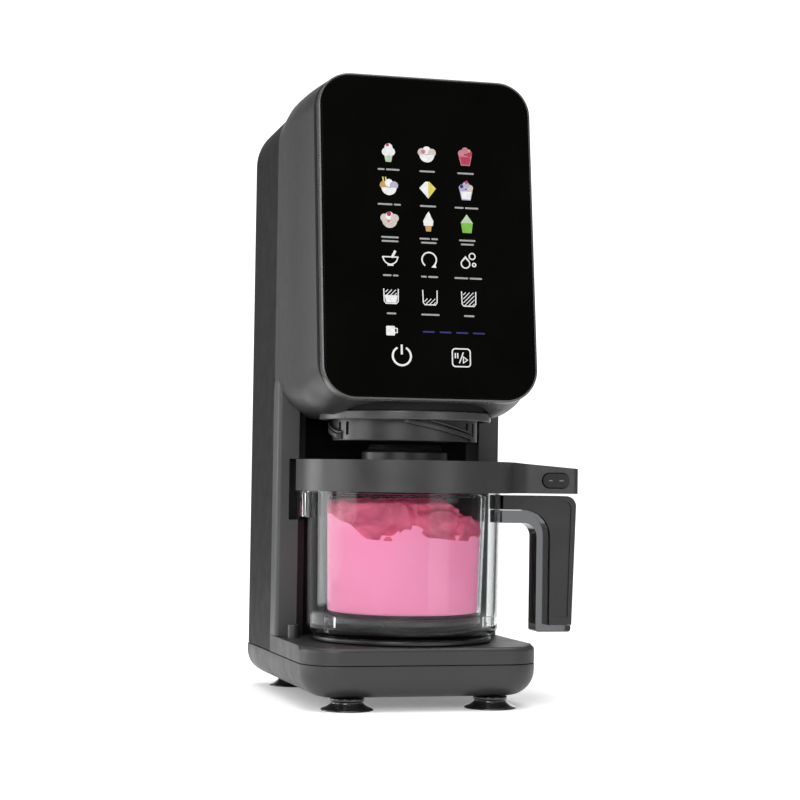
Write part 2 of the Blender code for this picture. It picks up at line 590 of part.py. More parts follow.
# ---- blade --------------------------------------------------------------------------------
def blade():
    """Sleeve in the hub, socketed shaft and two-lobed paddle."""
    sleeve = [(0.0114, 0.1503), (0.0114, 0.1702), (0.0145, 0.1702), (0.0145, 0.1503)]
    finish("drive_sleeve", turned(sleeve, 24, closed=True), STEEL, origin=(0, AXIS_Y, 0.1503))
    shaft = [(0.0, 0.1520), (0.0078, 0.1520), (0.0078, 0.1700), (0.0110, 0.1700), (0.0110, 0.1493),
             (0.0060, 0.1493), (0.0060, 0.1405), (0.0, 0.1405)]
    finish("blade_shaft", turned(shaft, 24), STEEL, origin=(0, AXIS_Y, 0.1405))
    outline = []
    for i in range(48):
        angle = 2 * math.pi * i / 48
        lobe = abs(math.cos(angle)) ** 7
        radius, turn = 0.0110 + 0.0355 * lobe, angle - 0.35 * lobe
        outline.append((radius * math.cos(turn), AXIS_Y + radius * math.sin(turn)))
    obj = finish("blade_paddle", prism(outline, 0.1412, 0.1487), STEEL, origin=(0, AXIS_Y, 0.1412))
    boolean(obj, cutter("paddle_bore", cylinder(0, AXIS_Y, 0.139, 0.151, 0.0064, 24)))


for build in (base_pan, base_deck, feet, column_front, bay_liner, rear_shell, cord_gland, head_shell,
              control_panel, lock_collar, drive, lift, interlock, jug, lid, blade):
    build()

for piece in list(PARTS.objects) + list(CUTTERS.objects):
    piece.location = piece.location + OFFSET
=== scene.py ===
import logging
import math
from dataclasses import dataclass, field
from enum import Enum
from typing import Callable, Iterable, Sequence

import bmesh
import bpy
from mathutils import Matrix, Vector, noise


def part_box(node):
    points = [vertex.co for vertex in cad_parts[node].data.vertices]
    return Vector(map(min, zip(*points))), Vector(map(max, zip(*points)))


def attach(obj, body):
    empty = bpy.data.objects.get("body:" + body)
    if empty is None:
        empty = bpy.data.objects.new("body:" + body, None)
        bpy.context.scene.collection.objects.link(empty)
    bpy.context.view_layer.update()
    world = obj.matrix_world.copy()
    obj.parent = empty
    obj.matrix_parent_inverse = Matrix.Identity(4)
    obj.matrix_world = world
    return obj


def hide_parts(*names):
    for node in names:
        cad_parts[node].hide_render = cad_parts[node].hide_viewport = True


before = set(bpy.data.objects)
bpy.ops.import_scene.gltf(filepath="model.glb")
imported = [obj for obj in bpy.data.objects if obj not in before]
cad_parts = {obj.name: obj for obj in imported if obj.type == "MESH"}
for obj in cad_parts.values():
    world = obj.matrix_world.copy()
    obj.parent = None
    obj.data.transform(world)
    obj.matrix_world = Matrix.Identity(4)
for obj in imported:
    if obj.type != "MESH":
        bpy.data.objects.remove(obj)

LOG = logging.getLogger("ice_cream_maker")
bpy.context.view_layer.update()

Point2 = tuple[float, float]
Point3 = tuple[float, float, float]
Colour = tuple[float, float, float]


class Body(Enum):
    """The moving groups that pieces ride on."""

    HOUSING = "housing"
    TABLE = "table"
    JUG = "jug"
    HUB = "hub"
    BUTTON = "button"
    INTERLOCK = "interlock"


class Plane(Enum):
    """The plane in which a flat outline is drawn."""

    PLAN = "plan"
    FRONT = "front"


class Weave(Enum):
    """How the fine marks of a finish run."""

    EVEN = (1.0, 1.0, 1.0)
    ALONG_X = (0.04, 1.0, 1.0)
    ROUND_Z = (1.0, 1.0, 0.03)


def middle(node: str) -> Vector:
    """Centre of a node's box."""
    low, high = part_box(node)
    return (Vector(low) + Vector(high)) / 2


AXIS = middle("turntable")
HOME = Vector((middle("base_pan").x, AXIS.y + 0.040, 0.0))
AXIS_Y = -0.040
LEAN = math.atan(0.133)


# ---------------------------------------------------------------------------------- finishes
class NodeBoard:
    """Adds shader nodes to a new material."""

    def __init__(self, name: str) -> None:
        """Starts a material with one Principled shader.

        Args:
            name: Name of the material.
        """
        self.material = bpy.data.materials.new(name)
        self.material.use_nodes = True
        self.tree = self.material.node_tree
        self.shader = self.tree.nodes["Principled BSDF"]

    def add(self, kind: str, **values: object) -> bpy.types.Node:
        """Adds a node.

        Args:
            kind: The node's Blender type.
            values: Its settings; names that are sockets set the socket.

        Returns:
            The new node.
        """
        node = self.tree.nodes.new(kind)
        for name, value in values.items():
            if hasattr(node, name):
                setattr(node, name, value)
            else:
                node.inputs[name.replace("_", " ")].default_value = value
        return node

    def link(self, out: bpy.types.NodeSocket, into: bpy.types.NodeSocket) -> None:
        """Joins two sockets."""
        self.tree.links.new(out, into)

    def place(self, stretch: Point3 = (1.0, 1.0, 1.0)) -> bpy.types.NodeSocket:
        """Object coordinates, stretched.

        Args:
            stretch: Scale of the coordinates along each axis.

        Returns:
            The socket of the coordinates.
        """
        where = self.add("ShaderNodeTexCoord")
        turn = self.add("ShaderNodeMapping")
        turn.inputs["Scale"].default_value = stretch
        self.link(where.outputs["Object"], turn.inputs["Vector"])
        return turn.outputs["Vector"]

    def cloud(self, scale: float, detail: float = 3.0, stretch: Point3 = (1.0, 1.0, 1.0),
              warp: float = 0.0) -> bpy.types.NodeSocket:
        """A noise factor.

        Args:
            scale: Noise cells per metre.
            detail: Octaves.
            stretch: Stretch of the coordinates.
            warp: Distortion of the noise.

        Returns:
            The socket of the factor.
        """
        node = self.add("ShaderNodeTexNoise", Scale=scale, Detail=detail, Distortion=warp)
        self.link(self.place(stretch), node.inputs["Vector"])
        return node.outputs["Fac"]

    def between(self, factor: bpy.types.NodeSocket, low: float, high: float,
                start: float = 0.3, end: float = 0.7) -> bpy.types.NodeSocket:
        """Maps a factor to a range.

        Args:
            factor: The factor to map.
            low: Result at the start.
            high: Result at the end.
            start: Factor that gives low.
            end: Factor that gives high.

        Returns:
            The socket of the mapped value.
        """
        node = self.add("ShaderNodeMapRange")
        for socket, value in zip(("From Min", "From Max", "To Min", "To Max"), (start, end, low, high)):
            node.inputs[socket].default_value = value
        self.link(factor, node.inputs["Value"])
        return node.outputs["Result"]

    def blend(self, factor: bpy.types.NodeSocket, low: Colour, high: Colour) -> bpy.types.NodeSocket:
        """Runs from one colour to another along a factor.

        Args:
            factor: The factor that runs between them.
            low: Colour at its low end.
            high: Colour at its high end.

        Returns:
            The socket of the colour.
        """
        node = self.add("ShaderNodeValToRGB")
        ramp = node.color_ramp.elements
        ramp[0].position, ramp[1].position = 0.3, 0.7
        ramp[0].color, ramp[1].color = (*low, 1.0), (*high, 1.0)
        self.link(factor, node.inputs["Fac"])
        return node.outputs["Color"]

    def bump(self, height: bpy.types.NodeSocket, strength: float, distance: float) -> None:
        """Roughens the surface by a height factor.

        Args:
            height: The height factor.
            strength: How much of it shows.
            distance: Its height in metres.
        """
        node = self.add("ShaderNodeBump", Strength=strength, Distance=distance)
        self.link(height, node.inputs["Height"])
        self.link(node.outputs["Normal"], self.shader.inputs["Normal"])


def shaded(tint: Colour, share: float) -> Colour:
    """A colour made lighter or darker by a share."""
    return tuple(min(1.0, c * (1.0 + share)) for c in tint)


@dataclass(frozen=True)
class Moulded:
    """Moulded plastic, rubber or board, with a fine spark-eroded grain."""

    name: str
    tint: Colour
    rough: float = 0.45
    grain: float = 2600.0
    relief: float = 0.10
    mottle: float = 0.04
    coat: float = 0.0
    specular: float = 0.5
    glow: float = 0.0

    def material(self) -> bpy.types.Material:
        """Builds the material once.

        Returns:
            The material.
        """
        known = bpy.data.materials.get(self.name)
        if known:
            return known
        board = NodeBoard(self.name)
        tint = board.blend(board.cloud(26.0, 4.0), shaded(self.tint, -self.mottle),
                           shaded(self.tint, self.mottle))
        board.link(tint, board.shader.inputs["Base Color"])
        rough = board.between(board.cloud(70.0, 3.0), self.rough - 0.05, self.rough + 0.05)
        board.link(rough, board.shader.inputs["Roughness"])
        board.bump(board.cloud(self.grain, 2.0), self.relief, 0.00012)
        board.shader.inputs["Specular IOR Level"].default_value = self.specular
        board.shader.inputs["Coat Weight"].default_value = self.coat
        board.shader.inputs["Coat Roughness"].default_value = 0.08
        board.shader.inputs["Emission Color"].default_value = (1.0, 1.0, 1.0, 1.0)
        board.shader.inputs["Emission Strength"].default_value = self.glow
        return board.material


@dataclass(frozen=True)
class Metal:
    """Turned, drawn or rolled metal with fine tool marks."""

    name: str
    tint: Colour
    rough: float = 0.28
    weave: Weave = Weave.EVEN

    def material(self) -> bpy.types.Material:
        """Builds the material once.

        Returns:
            The material.
        """
        known = bpy.data.materials.get(self.name)
        if known:
            return known
        board = NodeBoard(self.name)
        board.shader.inputs["Metallic"].default_value = 1.0
        marks = board.cloud(900.0, 3.0, self.weave.value)
        board.link(board.blend(marks, shaded(self.tint, -0.12), shaded(self.tint, 0.08)),
                   board.shader.inputs["Base Color"])
        rough = board.between(marks, self.rough - 0.06, self.rough + 0.10)
        board.link(rough, board.shader.inputs["Roughness"])
        board.bump(marks, 0.15, 0.00008)
        return board.material


@dataclass(frozen=True)
class Clear:
    """Clear moulded plastic with slight flow marks."""

    name: str
    tint: Colour = (0.93, 0.95, 0.95)
    rough: float = 0.03
    index: float = 1.25
    shine: float = 0.5

    def material(self) -> bpy.types.Material:
        """Builds the material once.

        Returns:
            The material.
        """
        known = bpy.data.materials.get(self.name)
        if known:
            return known
        board = NodeBoard(self.name)
        board.shader.inputs["Transmission Weight"].default_value = 1.0
        board.shader.inputs["Specular IOR Level"].default_value = self.shine
        board.shader.inputs["IOR"].default_value = self.index
        flow = board.cloud(18.0, 2.0, (1.0, 1.0, 0.4))
        board.link(board.blend(flow, shaded(self.tint, -0.03), self.tint), board.shader.inputs["Base Color"])
        board.link(board.between(flow, self.rough, self.rough + 0.03), board.shader.inputs["Roughness"])
        board.bump(flow, 0.05, 0.0004)
        return board.material


@dataclass(frozen=True)
class PanelGlass:
    """Black glass with faint smudges."""

    name: str = "black_glass_front"

    def material(self) -> bpy.types.Material:
        """Builds the material once.

        Returns:
            The material.
        """
        known = bpy.data.materials.get(self.name)
        if known:
            return known
        board = NodeBoard(self.name)
        smudge = board.cloud(16.0, 5.0, warp=0.6)
        board.link(board.blend(smudge, (0.0016, 0.0016, 0.0014), (0.0026, 0.0026, 0.0022)),
                   board.shader.inputs["Base Color"])
        board.link(board.between(smudge, 0.05, 0.12), board.shader.inputs["Roughness"])
        board.shader.inputs["Specular IOR Level"].default_value = 0.02
        return board.material


@dataclass(frozen=True)
class Lit:
    """A lit symbol behind the glass."""

    name: str
    tint: Colour
    power: float = 1.0

    def material(self) -> bpy.types.Material:
        """Builds the material once.

        Returns:
            The material.
        """
        known = bpy.data.materials.get(self.name)
        if known:
            return known
        board = NodeBoard(self.name)
        patch = board.cloud(420.0, 2.0)
        board.link(board.blend(patch, shaded(self.tint, -0.14), shaded(self.tint, 0.05)),
                   board.shader.inputs["Emission Color"])
        board.link(board.blend(patch, shaded(self.tint, -0.97), shaded(self.tint, -0.95)),
                   board.shader.inputs["Base Color"])
        board.shader.inputs["Emission Strength"].default_value = self.power
        board.shader.inputs["Roughness"].default_value = 0.6
        return board.material


@dataclass(frozen=True)
class Dessert:
    """Soft frozen dessert: two pinks, ice crystals and light that sinks in, with an optional glow that is
    painted light.
    """

    name: str
    low: Colour
    high: Colour
    relief: float = 0.25
    scale: float = 60.0
    glow: float = 0.0

    def material(self) -> bpy.types.Material:
        """Builds the material once.

        Returns:
            The material.
        """
        known = bpy.data.materials.get(self.name)
        if known:
            return known
        board = NodeBoard(self.name)
        swirl = board.cloud(self.scale, 5.0, (1.0, 1.0, 1.6), warp=0.8)
        tone = board.blend(swirl, self.low, self.high)
        board.link(tone, board.shader.inputs["Base Color"])
        board.link(board.between(swirl, 0.42, 0.62), board.shader.inputs["Roughness"])
        board.shader.inputs["Subsurface Weight"].default_value = 0.5
        board.shader.inputs["Subsurface Scale"].default_value = 0.004
        board.shader.inputs["Subsurface Radius"].default_value = (1.0, 0.45, 0.5)
        # The glow is painted light: emission in the dessert's own colours lifts the shade it sits in under
        # the lid and collar.
        if self.glow:
            board.link(tone, board.shader.inputs["Emission Color"])
            board.shader.inputs["Emission Strength"].default_value = self.glow
        board.bump(board.cloud(self.scale * 9, 4.0, warp=0.4), self.relief, 0.0005)
        return board.material


CASE = Moulded("satin_charcoal", (0.026, 0.026, 0.027), 0.42, specular=0.40)
# Darker, duller copy of the case charcoal: painted shade on the rear half of the case.
SHADED_REAR = Moulded("satin_charcoal_rear_painted_shade", (0.011, 0.011, 0.0115), 0.52, specular=0.10)
TRIM = Moulded("satin_charcoal_trim", (0.026, 0.026, 0.027), 0.34)
GRIP = Moulded("satin_charcoal_grip", (0.014, 0.014, 0.015), 0.34, specular=0.4)
RIM = Moulded("panel_rim", (0.06, 0.06, 0.06), 0.30, relief=0.03)
FLANGE = Moulded("satin_charcoal_flange", (0.050, 0.050, 0.051), 0.30)
# Lighter copy of the case charcoal: painted light on the column's front faces.
LIT_CHEEK = Moulded("satin_charcoal_column_painted_light", (0.052, 0.052, 0.053), 0.42, specular=0.45)
PRESS = Moulded("button_black", (0.008, 0.008, 0.008), 0.30, specular=0.3)
MARK = Moulded("button_marks", (0.16, 0.16, 0.16), 0.35, relief=0.03)
LINER = Moulded("matt_black_liner", (0.006, 0.006, 0.006), 0.6, specular=0.2)
BLACK = Moulded("black_moulding", (0.012, 0.012, 0.012), 0.32)
GLOSS = Moulded("black_foot_rubber", (0.010, 0.010, 0.010), 0.16, relief=0.02, coat=0.5)
BOARD = Moulded("circuit_board", (0.015, 0.09, 0.04), 0.4, grain=500.0)
ACETAL = Moulded("gear_acetal", (0.70, 0.68, 0.62), 0.4)
STEEL = Metal("bright_steel", (0.60, 0.60, 0.62), 0.25, Weave.ROUND_Z)
ALLOY = Metal("cast_alloy", (0.55, 0.55, 0.57), 0.45)
BRONZE = Metal("bearing_bronze", (0.60, 0.40, 0.18), 0.3, Weave.ROUND_Z)
VESSEL = Clear("clear_vessel", (0.92, 0.94, 0.94), 0.02, 1.26, 0.35)
TUB = Clear("clear_tub", (0.97, 0.97, 0.98), 0.03, 1.10, 0.15)
STRIP = Clear("clear_handle", (0.11, 0.115, 0.12), 0.05, 1.35)
# Both dessert finishes glow: painted light that brightens the dessert in the shade of the lid and collar.
SOFT = Dessert("dessert_smooth", (0.95, 0.27, 0.47), (0.98, 0.31, 0.52), 0.10, 14.0, 0.33)
CREASED = Dessert("dessert_creased", (0.45, 0.03, 0.10), (0.90, 0.16, 0.29), 0.45, 45.0, 0.15)


# ------------------------------------------------------------------------------- shape tools
def arc(centre: Point2, radius: float, start: float, end: float, steps: int) -> list[Point2]:
    """Points on an arc.

    Args:
        centre: Centre of the arc.
        radius: Its radius.
        start: First angle in degrees.
        end: Last angle in degrees.
        steps: Number of chords.

    Returns:
        The points, both ends included.
    """
    return [(centre[0] + radius * math.cos(math.radians(start + (end - start) * i / steps)),
             centre[1] + radius * math.sin(math.radians(start + (end - start) * i / steps)))
            for i in range(steps + 1)]


def rounded_rect(half: float, low: float, high: float, r_top: float, r_low: float,
                 steps: int = 14) -> list[Point2]:
    """An upright rounded rectangle about x = 0.

    Args:
        half: Half of its width.
        low: Height of its lower edge.
        high: Height of its upper edge.
        r_top: Radius of the upper corners.
        r_low: Radius of the lower corners.
        steps: Chords per corner.

    Returns:
        The outline.
    """
    return (arc((half - r_low, low + r_low), r_low, -90, 0, steps)
            + arc((half - r_top, high - r_top), r_top, 0, 90, steps)
            + arc((-half + r_top, high - r_top), r_top, 90, 180, steps)
            + arc((-half + r_low, low + r_low), r_low, 180, 270, steps))


def loft(rings: Sequence[Sequence[Point3]], cyclic: bool = False, capped: bool = True) -> bmesh.types.BMesh:
    """Bridges rings of points.

    Args:
        rings: Rings with the same number of points.
        cyclic: Whether the last ring joins the first.
        capped: Whether open ends are closed with a face.

    Returns:
        The new mesh.
    """
    bm = bmesh.new()
    loops = []
    for ring in rings:
        verts = [bm.verts.new(p) for p in ring]
        loops.append([bm.edges.new((a, b)) for a, b in zip(verts, verts[1:] + verts[:1])])
    pairs = list(zip(loops, loops[1:])) + ([(loops[-1], loops[0])] if cyclic else [])
    for first, second in pairs:
        bmesh.ops.bridge_loops(bm, edges=first + second)
    if capped and not cyclic:
        for loop in (loops[0], loops[-1]):
            bmesh.ops.contextual_create(bm, geom=loop)
    return bm


def eased(knots: Sequence[Point2], at: float) -> float:
    """Smooth value between knots of (place, value).

    Args:
        knots: Places and values, in order.
        at: The place that is asked for.

    Returns:
        The value there.
    """
    for (a, low), (b, high) in zip(knots, knots[1:]):
        if at <= b:
            t = (at - a) / (b - a)
            return low + (high - low) * t * t * (3 - 2 * t)
    return knots[-1][1]


def spun(profile: Sequence[Point2], steps: int = 96, closed: bool = False, centre: Point2 = (0.0, AXIS_Y)
         ) -> bmesh.types.BMesh:
    """Spins a profile of (radius, height) points about an upright axis.

    Args:
        profile: Points from axis to axis, or a loop.
        steps: Number of facets.
        closed: Whether the profile is a loop.
        centre: Where the axis stands.

    Returns:
        The new mesh.
    """
    bm = bmesh.new()
    verts = [bm.verts.new((r, 0.0, z)) for r, z in profile]
    edges = [bm.edges.new(pair) for pair in zip(verts, verts[1:])]
    if closed:
        edges.append(bm.edges.new((verts[-1], verts[0])))
    bmesh.ops.spin(bm, geom=verts + edges, cent=(0, 0, 0), axis=(0, 0, 1), dvec=(0, 0, 0),
                   angle=2 * math.pi, steps=steps, use_merge=True)
    bmesh.ops.remove_doubles(bm, verts=bm.verts[:], dist=1e-6)
    bmesh.ops.translate(bm, verts=bm.verts[:], vec=(centre[0], centre[1], 0.0))
    return bm


def softened(profile: Sequence[Point2], radius: float, steps: int = 4, closed: bool = False) -> list[Point2]:
    """Rounds the corners of a profile.

    Args:
        profile: The corner points.
        radius: Wanted radius, less where an edge is short.
        steps: Chords per corner.
        closed: Whether the profile is a loop.

    Returns:
        The rounded profile.
    """
    count, out = len(profile), []
    for i, corner in enumerate(profile):
        if not closed and i in (0, count - 1):
            out.append(corner)
            continue
        here = Vector(corner)
        back, ahead = Vector(profile[i - 1]) - here, Vector(profile[(i + 1) % count]) - here
        reach = min(radius, back.length * 0.45, ahead.length * 0.45)
        start, end = here + back.normalized() * reach, here + ahead.normalized() * reach
        for k in range(steps + 1):
            t = k / steps
            out.append(tuple(start * (1 - t) ** 2 + here * 2 * t * (1 - t) + end * t ** 2))
    return out


def slab(outline: Sequence[Point2], low: float, high: float, plane: Plane = Plane.PLAN,
         holes: Iterable[Sequence[Point2]] = ()) -> bmesh.types.BMesh:
    """Extrudes an outline, with holes, into a plate.

    Args:
        outline: The outer edge.
        low: Where the plate starts.
        high: Where it ends.
        plane: Whether the outline is in plan (x, y) or seen from the front (x, z).
        holes: Inner edges.

    Returns:
        The new mesh.
    """
    bm = bmesh.new()
    edges = []
    for loop in (outline, *holes):
        verts = [bm.verts.new((a, b, low) if plane is Plane.PLAN else (a, low, b)) for a, b in loop]
        edges += [bm.edges.new((a, b)) for a, b in zip(verts, verts[1:] + verts[:1])]
    up = Vector((0, 0, 1)) if plane is Plane.PLAN else Vector((0, 1, 0))
    bmesh.ops.triangle_fill(bm, edges=edges, use_beauty=True, normal=up)
    made = bmesh.ops.extrude_face_region(bm, geom=bm.faces[:], use_keep_orig=True)["geom"]
    raised = [g for g in made if isinstance(g, bmesh.types.BMVert)]
    bmesh.ops.translate(bm, verts=raised, vec=up * (high - low))
    bmesh.ops.recalc_face_normals(bm, faces=bm.faces[:])
    return bm


def block(low: Point3, high: Point3) -> bmesh.types.BMesh:
    """A block between two corners.

    Args:
        low: Its lowest corner.
        high: Its highest corner.

    Returns:
        The new mesh.
    """
    bm = bmesh.new()
    bmesh.ops.create_cube(bm, size=1.0)
    size = [b - a for a, b in zip(low, high)]
    bmesh.ops.scale(bm, verts=bm.verts[:], vec=size)
    bmesh.ops.translate(bm, verts=bm.verts[:], vec=[(a + b) / 2 for a, b in zip(low, high)])
    return bm


def near(a: float, b: float) -> bool:
    """Whether two lengths are the same to 10 microns."""
    return abs(a - b) < 1e-5


def rounded(bm: bmesh.types.BMesh, chosen: Callable[[Vector, Vector], bool], radius: float,
            steps: int) -> None:
    """Bevels the edges that a test picks.

    Args:
        bm: The mesh to change.
        chosen: Test on an edge's two ends.
        radius: Bevel width.
        steps: Bevel segments.
    """
    edges = [e for e in bm.edges if chosen(e.verts[0].co, e.verts[1].co)]
    bmesh.ops.bevel(bm, geom=edges, offset=radius, segments=steps, profile=0.5, affect="EDGES",
                    clamp_overlap=True, material=-1)


def rounded_sharp(bm: bmesh.types.BMesh, radius: float, steps: int = 3, angle: float = 40.0) -> None:
    """Bevels every edge that is sharper than an angle.

    Args:
        bm: The mesh to change.
        radius: Bevel width.
        steps: Bevel segments.
        angle: Edges sharper than this, in degrees, are bevelled.
    """
    edges = [e for e in bm.edges if e.is_manifold and e.calc_face_angle(0.0) > math.radians(angle)]
    bmesh.ops.bevel(bm, geom=edges, offset=radius, segments=steps, profile=0.5, affect="EDGES",
                    clamp_overlap=True, material=-1)


def merged(*forms: bmesh.types.BMesh) -> bmesh.types.BMesh:
    """Puts several meshes in one.

    Args:
        forms: The meshes, which are freed.

    Returns:
        The joined mesh.
    """
    out = bmesh.new()
    for form in forms:
        mesh = bpy.data.meshes.new("joining")
        form.to_mesh(mesh)
        form.free()
        out.from_mesh(mesh)
        bpy.data.meshes.remove(mesh)
    return out


def turned_about(bm: bmesh.types.BMesh, degrees: float, axis: str = "Z", centre: Point3 = (0.0, AXIS_Y, 0.0)
                 ) -> bmesh.types.BMesh:
    """Turns a mesh about a point.

    Args:
        bm: The mesh to turn.
        degrees: How far it turns.
        axis: The axis that it turns about.
        centre: The point that stays in place.

    Returns:
        The same mesh.
    """
    turn = Matrix.Rotation(math.radians(degrees), 3, axis)
    bmesh.ops.rotate(bm, verts=bm.verts[:], cent=centre, matrix=turn)
    return bm


def settled(obj: bpy.types.Object, angle: float) -> None:
    """Applies the modifiers of a piece and shades it smooth up to an angle.

    Args:
        obj: The piece.
        angle: Edges sharper than this, in degrees, stay sharp.
    """
    if obj.modifiers:
        graph = bpy.context.evaluated_depsgraph_get()
        graph.update()
        made = bpy.data.meshes.new_from_object(obj.evaluated_get(graph))
        obj.modifiers.clear()
        obj.data = made
    obj.data.shade_smooth()
    obj.data.set_sharp_from_angle(angle=math.radians(angle))


def publish(name: str, bm: bmesh.types.BMesh, finish: object, body: Body,
            stands_for: Sequence[str] = (), wall: float = 0.0, cut: bmesh.types.BMesh | None = None,
            angle: float = 32.0, even: bool = True) -> bpy.types.Object:
    """Makes a finished piece from a mesh.

    Args:
        name: The piece's name.
        bm: Its mesh, about the machine's own centreline.
        finish: What it is made of.
        body: The moving group that it rides on.
        stands_for: CAD nodes that it replaces.
        wall: Thickness given inward to an open skin.
        cut: A closed form to take away.
        angle: Edges sharper than this stay sharp.
        even: Whether big faces set the shading of their corners.

    Returns:
        The new object.
    """
    objects = []
    for form, title in ((bm, name), (cut, name + "_cut")):
        if form is None:
            continue
        bmesh.ops.remove_doubles(form, verts=form.verts[:], dist=1e-6)
        bmesh.ops.recalc_face_normals(form, faces=form.faces[:])
        bmesh.ops.translate(form, verts=form.verts[:], vec=HOME)
        mesh = bpy.data.meshes.new(title)
        form.to_mesh(mesh)
        form.free()
        objects.append(bpy.data.objects.new(title, mesh))
        bpy.context.scene.collection.objects.link(objects[-1])
    obj = objects[0]
    if wall:
        skin = obj.modifiers.new("wall", "SOLIDIFY")
        skin.thickness, skin.offset, skin.use_even_offset = wall, -1.0, True
        soft = obj.modifiers.new("lip", "BEVEL")
        soft.width, soft.segments, soft.limit_method, soft.angle_limit = 0.0005, 2, "ANGLE", math.radians(50)
    if cut is not None:
        away = obj.modifiers.new("cut", "BOOLEAN")
        away.object, away.operation, away.solver = objects[1], "DIFFERENCE", "EXACT"
        away.use_self = True
    settled(obj, angle)
    if cut is not None:
        bpy.data.objects.remove(objects[1], do_unlink=True)
    if even:
        weighted = obj.modifiers.new("even_shading", "WEIGHTED_NORMAL")
        weighted.keep_sharp, weighted.weight = True, 60
    obj.data.materials.clear()
    obj.data.materials.append(finish.material())
    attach(obj, body.value)
    if stands_for:
        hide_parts(*stands_for)
    LOG.info("%s: %d faces on %s", name, len(obj.data.polygons), body.value)
    return obj


# -------------------------------------------------------------------------------------- case
@dataclass
class Case:
    """Base, column, shells and feet."""

    half: float = 0.0783
    rear: float = 0.095
    rear_radius: float = 0.008
    seam: float = 0.012
    column_front: float = -0.003
    base_front: float = -0.1033
    pan_z: float = 0.0081
    split_z: float = 0.0295
    deck_z: float = 0.0406
    head_z: float = 0.187
    wall: float = 0.0025
    bay: float = 0.0735
    relief: float = 0.0792
    panel_y: float = -0.1043
    panel_z: float = 0.1995
    curve: float = 0.070
    feet: tuple[Point2, ...] = ((-0.0478, -0.084), (0.0478, -0.084), (-0.0478, 0.074), (0.0478, 0.074))

    def build(self) -> None:
        """Builds every piece of the case."""
        self.pan()
        self.deck()
        self.cheeks()
        self.liner()
        self.rear_shell()
        self.head()
        self.stand()
        self.gland()

    def roof(self, y: float) -> float:
        """Height of the roof at a depth."""
        return 0.4097 - 0.0526 * (y - self.panel_y - 0.0281)

    def pan(self) -> None:
        """Lower tray with its large rolled edge."""
        top = self.split_z - 0.0003
        roll, rings = 0.017, []
        for step in range(12):
            angle = math.radians(90 * min(step, 10) / 10)
            inset = roll * (1 - math.sin(angle))
            z = self.pan_z + roll * (1 - math.cos(angle)) if step < 11 else top
            plan = rounded_rect(self.half - inset, self.base_front + inset, self.rear - inset,
                                max(self.rear_radius - inset, 0.004), 0.025 - inset)
            rings.append([(x, y, z) for x, y in plan])
        bm = loft(rings)
        mouth = [f for f in bm.faces if all(near(v.co.z, top) for v in f.verts)]
        bmesh.ops.delete(bm, geom=mouth, context="FACES")
        publish("base_pan_shell", bm, CASE, Body.HOUSING, ["base_pan"], wall=self.wall)

    def plan(self, front: float, corner: float, steps: int = 12) -> list[Point2]:
        """Plan outline that steps in behind the joint line.

        Args:
            front: Where the front edge lies.
            corner: Radius of the front corners.
            steps: Chords per corner.

        Returns:
            The outline.
        """
        back, narrow, step = 0.0395, self.half - 0.003, self.seam - 0.0003
        right = ([(narrow, back), (narrow, step), (self.half, step)]
                 + arc((self.half - corner, front + corner), corner, 0, -90, steps))
        return right + [(-x, y) for x, y in reversed(right)]

    def deck(self) -> None:
        """Upper base with the turntable well."""
        well, low = 0.052, self.split_z + 0.0002
        bm = bmesh.new()
        edges = []
        hole = arc((0.0, AXIS_Y), well, 0, 360 - 360 / 96, 95)
        pin = arc((-0.068, -0.015), 0.0047, 0, 345, 23)
        for loop in (self.plan(self.base_front, 0.025), hole, pin):
            verts = [bm.verts.new((x, y, self.deck_z)) for x, y in loop]
            edges.append([bm.edges.new((a, b)) for a, b in zip(verts, verts[1:] + verts[:1])])
        bmesh.ops.triangle_fill(bm, edges=sum(edges, []), use_beauty=True, normal=(0, 0, 1))
        for loop, depth in zip(edges, (low, 0.016, 0.034)):
            made = bmesh.ops.extrude_edge_only(bm, edges=loop)["geom"]
            for v in (g for g in made if isinstance(g, bmesh.types.BMVert)):
                v.co.z = depth
        rounded(bm, lambda a, b: near(a.z, self.deck_z) and near(b.z, self.deck_z)
                and max(a.y, b.y) < self.seam - 0.001 and self.on_edge(a) and self.on_edge(b), 0.0030, 5)
        publish("base_deck_shell", bm, CASE, Body.HOUSING, ["base_deck"], wall=0.0022)

    def on_edge(self, p: Vector) -> bool:
        """Whether a point is on the outer edge of the deck.

        Args:
            p: The point.

        Returns:
            True if it is on that edge.
        """
        corner = 0.025
        dx, dy = abs(p.x) - (self.half - corner), (self.base_front + corner) - p.y
        if dx > -1e-5 and dy > -1e-5:
            return abs(math.hypot(dx, dy) - corner) < 1e-4
        return near(abs(p.x), self.half) or near(p.y, self.base_front)

    def cheeks(self) -> None:
        """Walls of the jug bay, relieved at the height of the lid and run up beside the head."""
        front, corner = self.column_front, 0.0030
        levels = ((self.deck_z + 0.0003, 0, 0.0), (0.119, 0, 0.0), (0.119, 1, 0.0), (0.160, 1, 0.0),
                  (0.160, 0, 0.0), (0.206, 0, 0.0), (0.2165, 0, 0.0009))
        for side, name in ((1, "column_cheek_right"), (-1, "column_cheek_left")):
            rings = []
            for z, cut, inset in levels:
                half = self.half - inset
                radius = self.relief if cut else self.bay
                start = math.degrees(math.asin((front - AXIS_Y) / radius))
                inner = arc((0.0, AXIS_Y), radius, 39, start, 10)
                plan = (inner + arc((half - corner, front + corner), corner, -90, 0, 6)
                        + [(half, self.seam - 0.0004), (0.0640, self.seam - 0.0004)])
                rings.append([(side * x, y, z) for x, y in plan])
            bm = loft(rings)
            bmesh.ops.recalc_face_normals(bm, faces=bm.faces[:])
            rounded_sharp(bm, 0.0006, 2, 50)
            nodes = ["column_front"] if side == 1 else []
            # The cheeks' lighter copy of the case charcoal is painted light.
            publish(name, bm, LIT_CHEEK, Body.HOUSING, nodes)

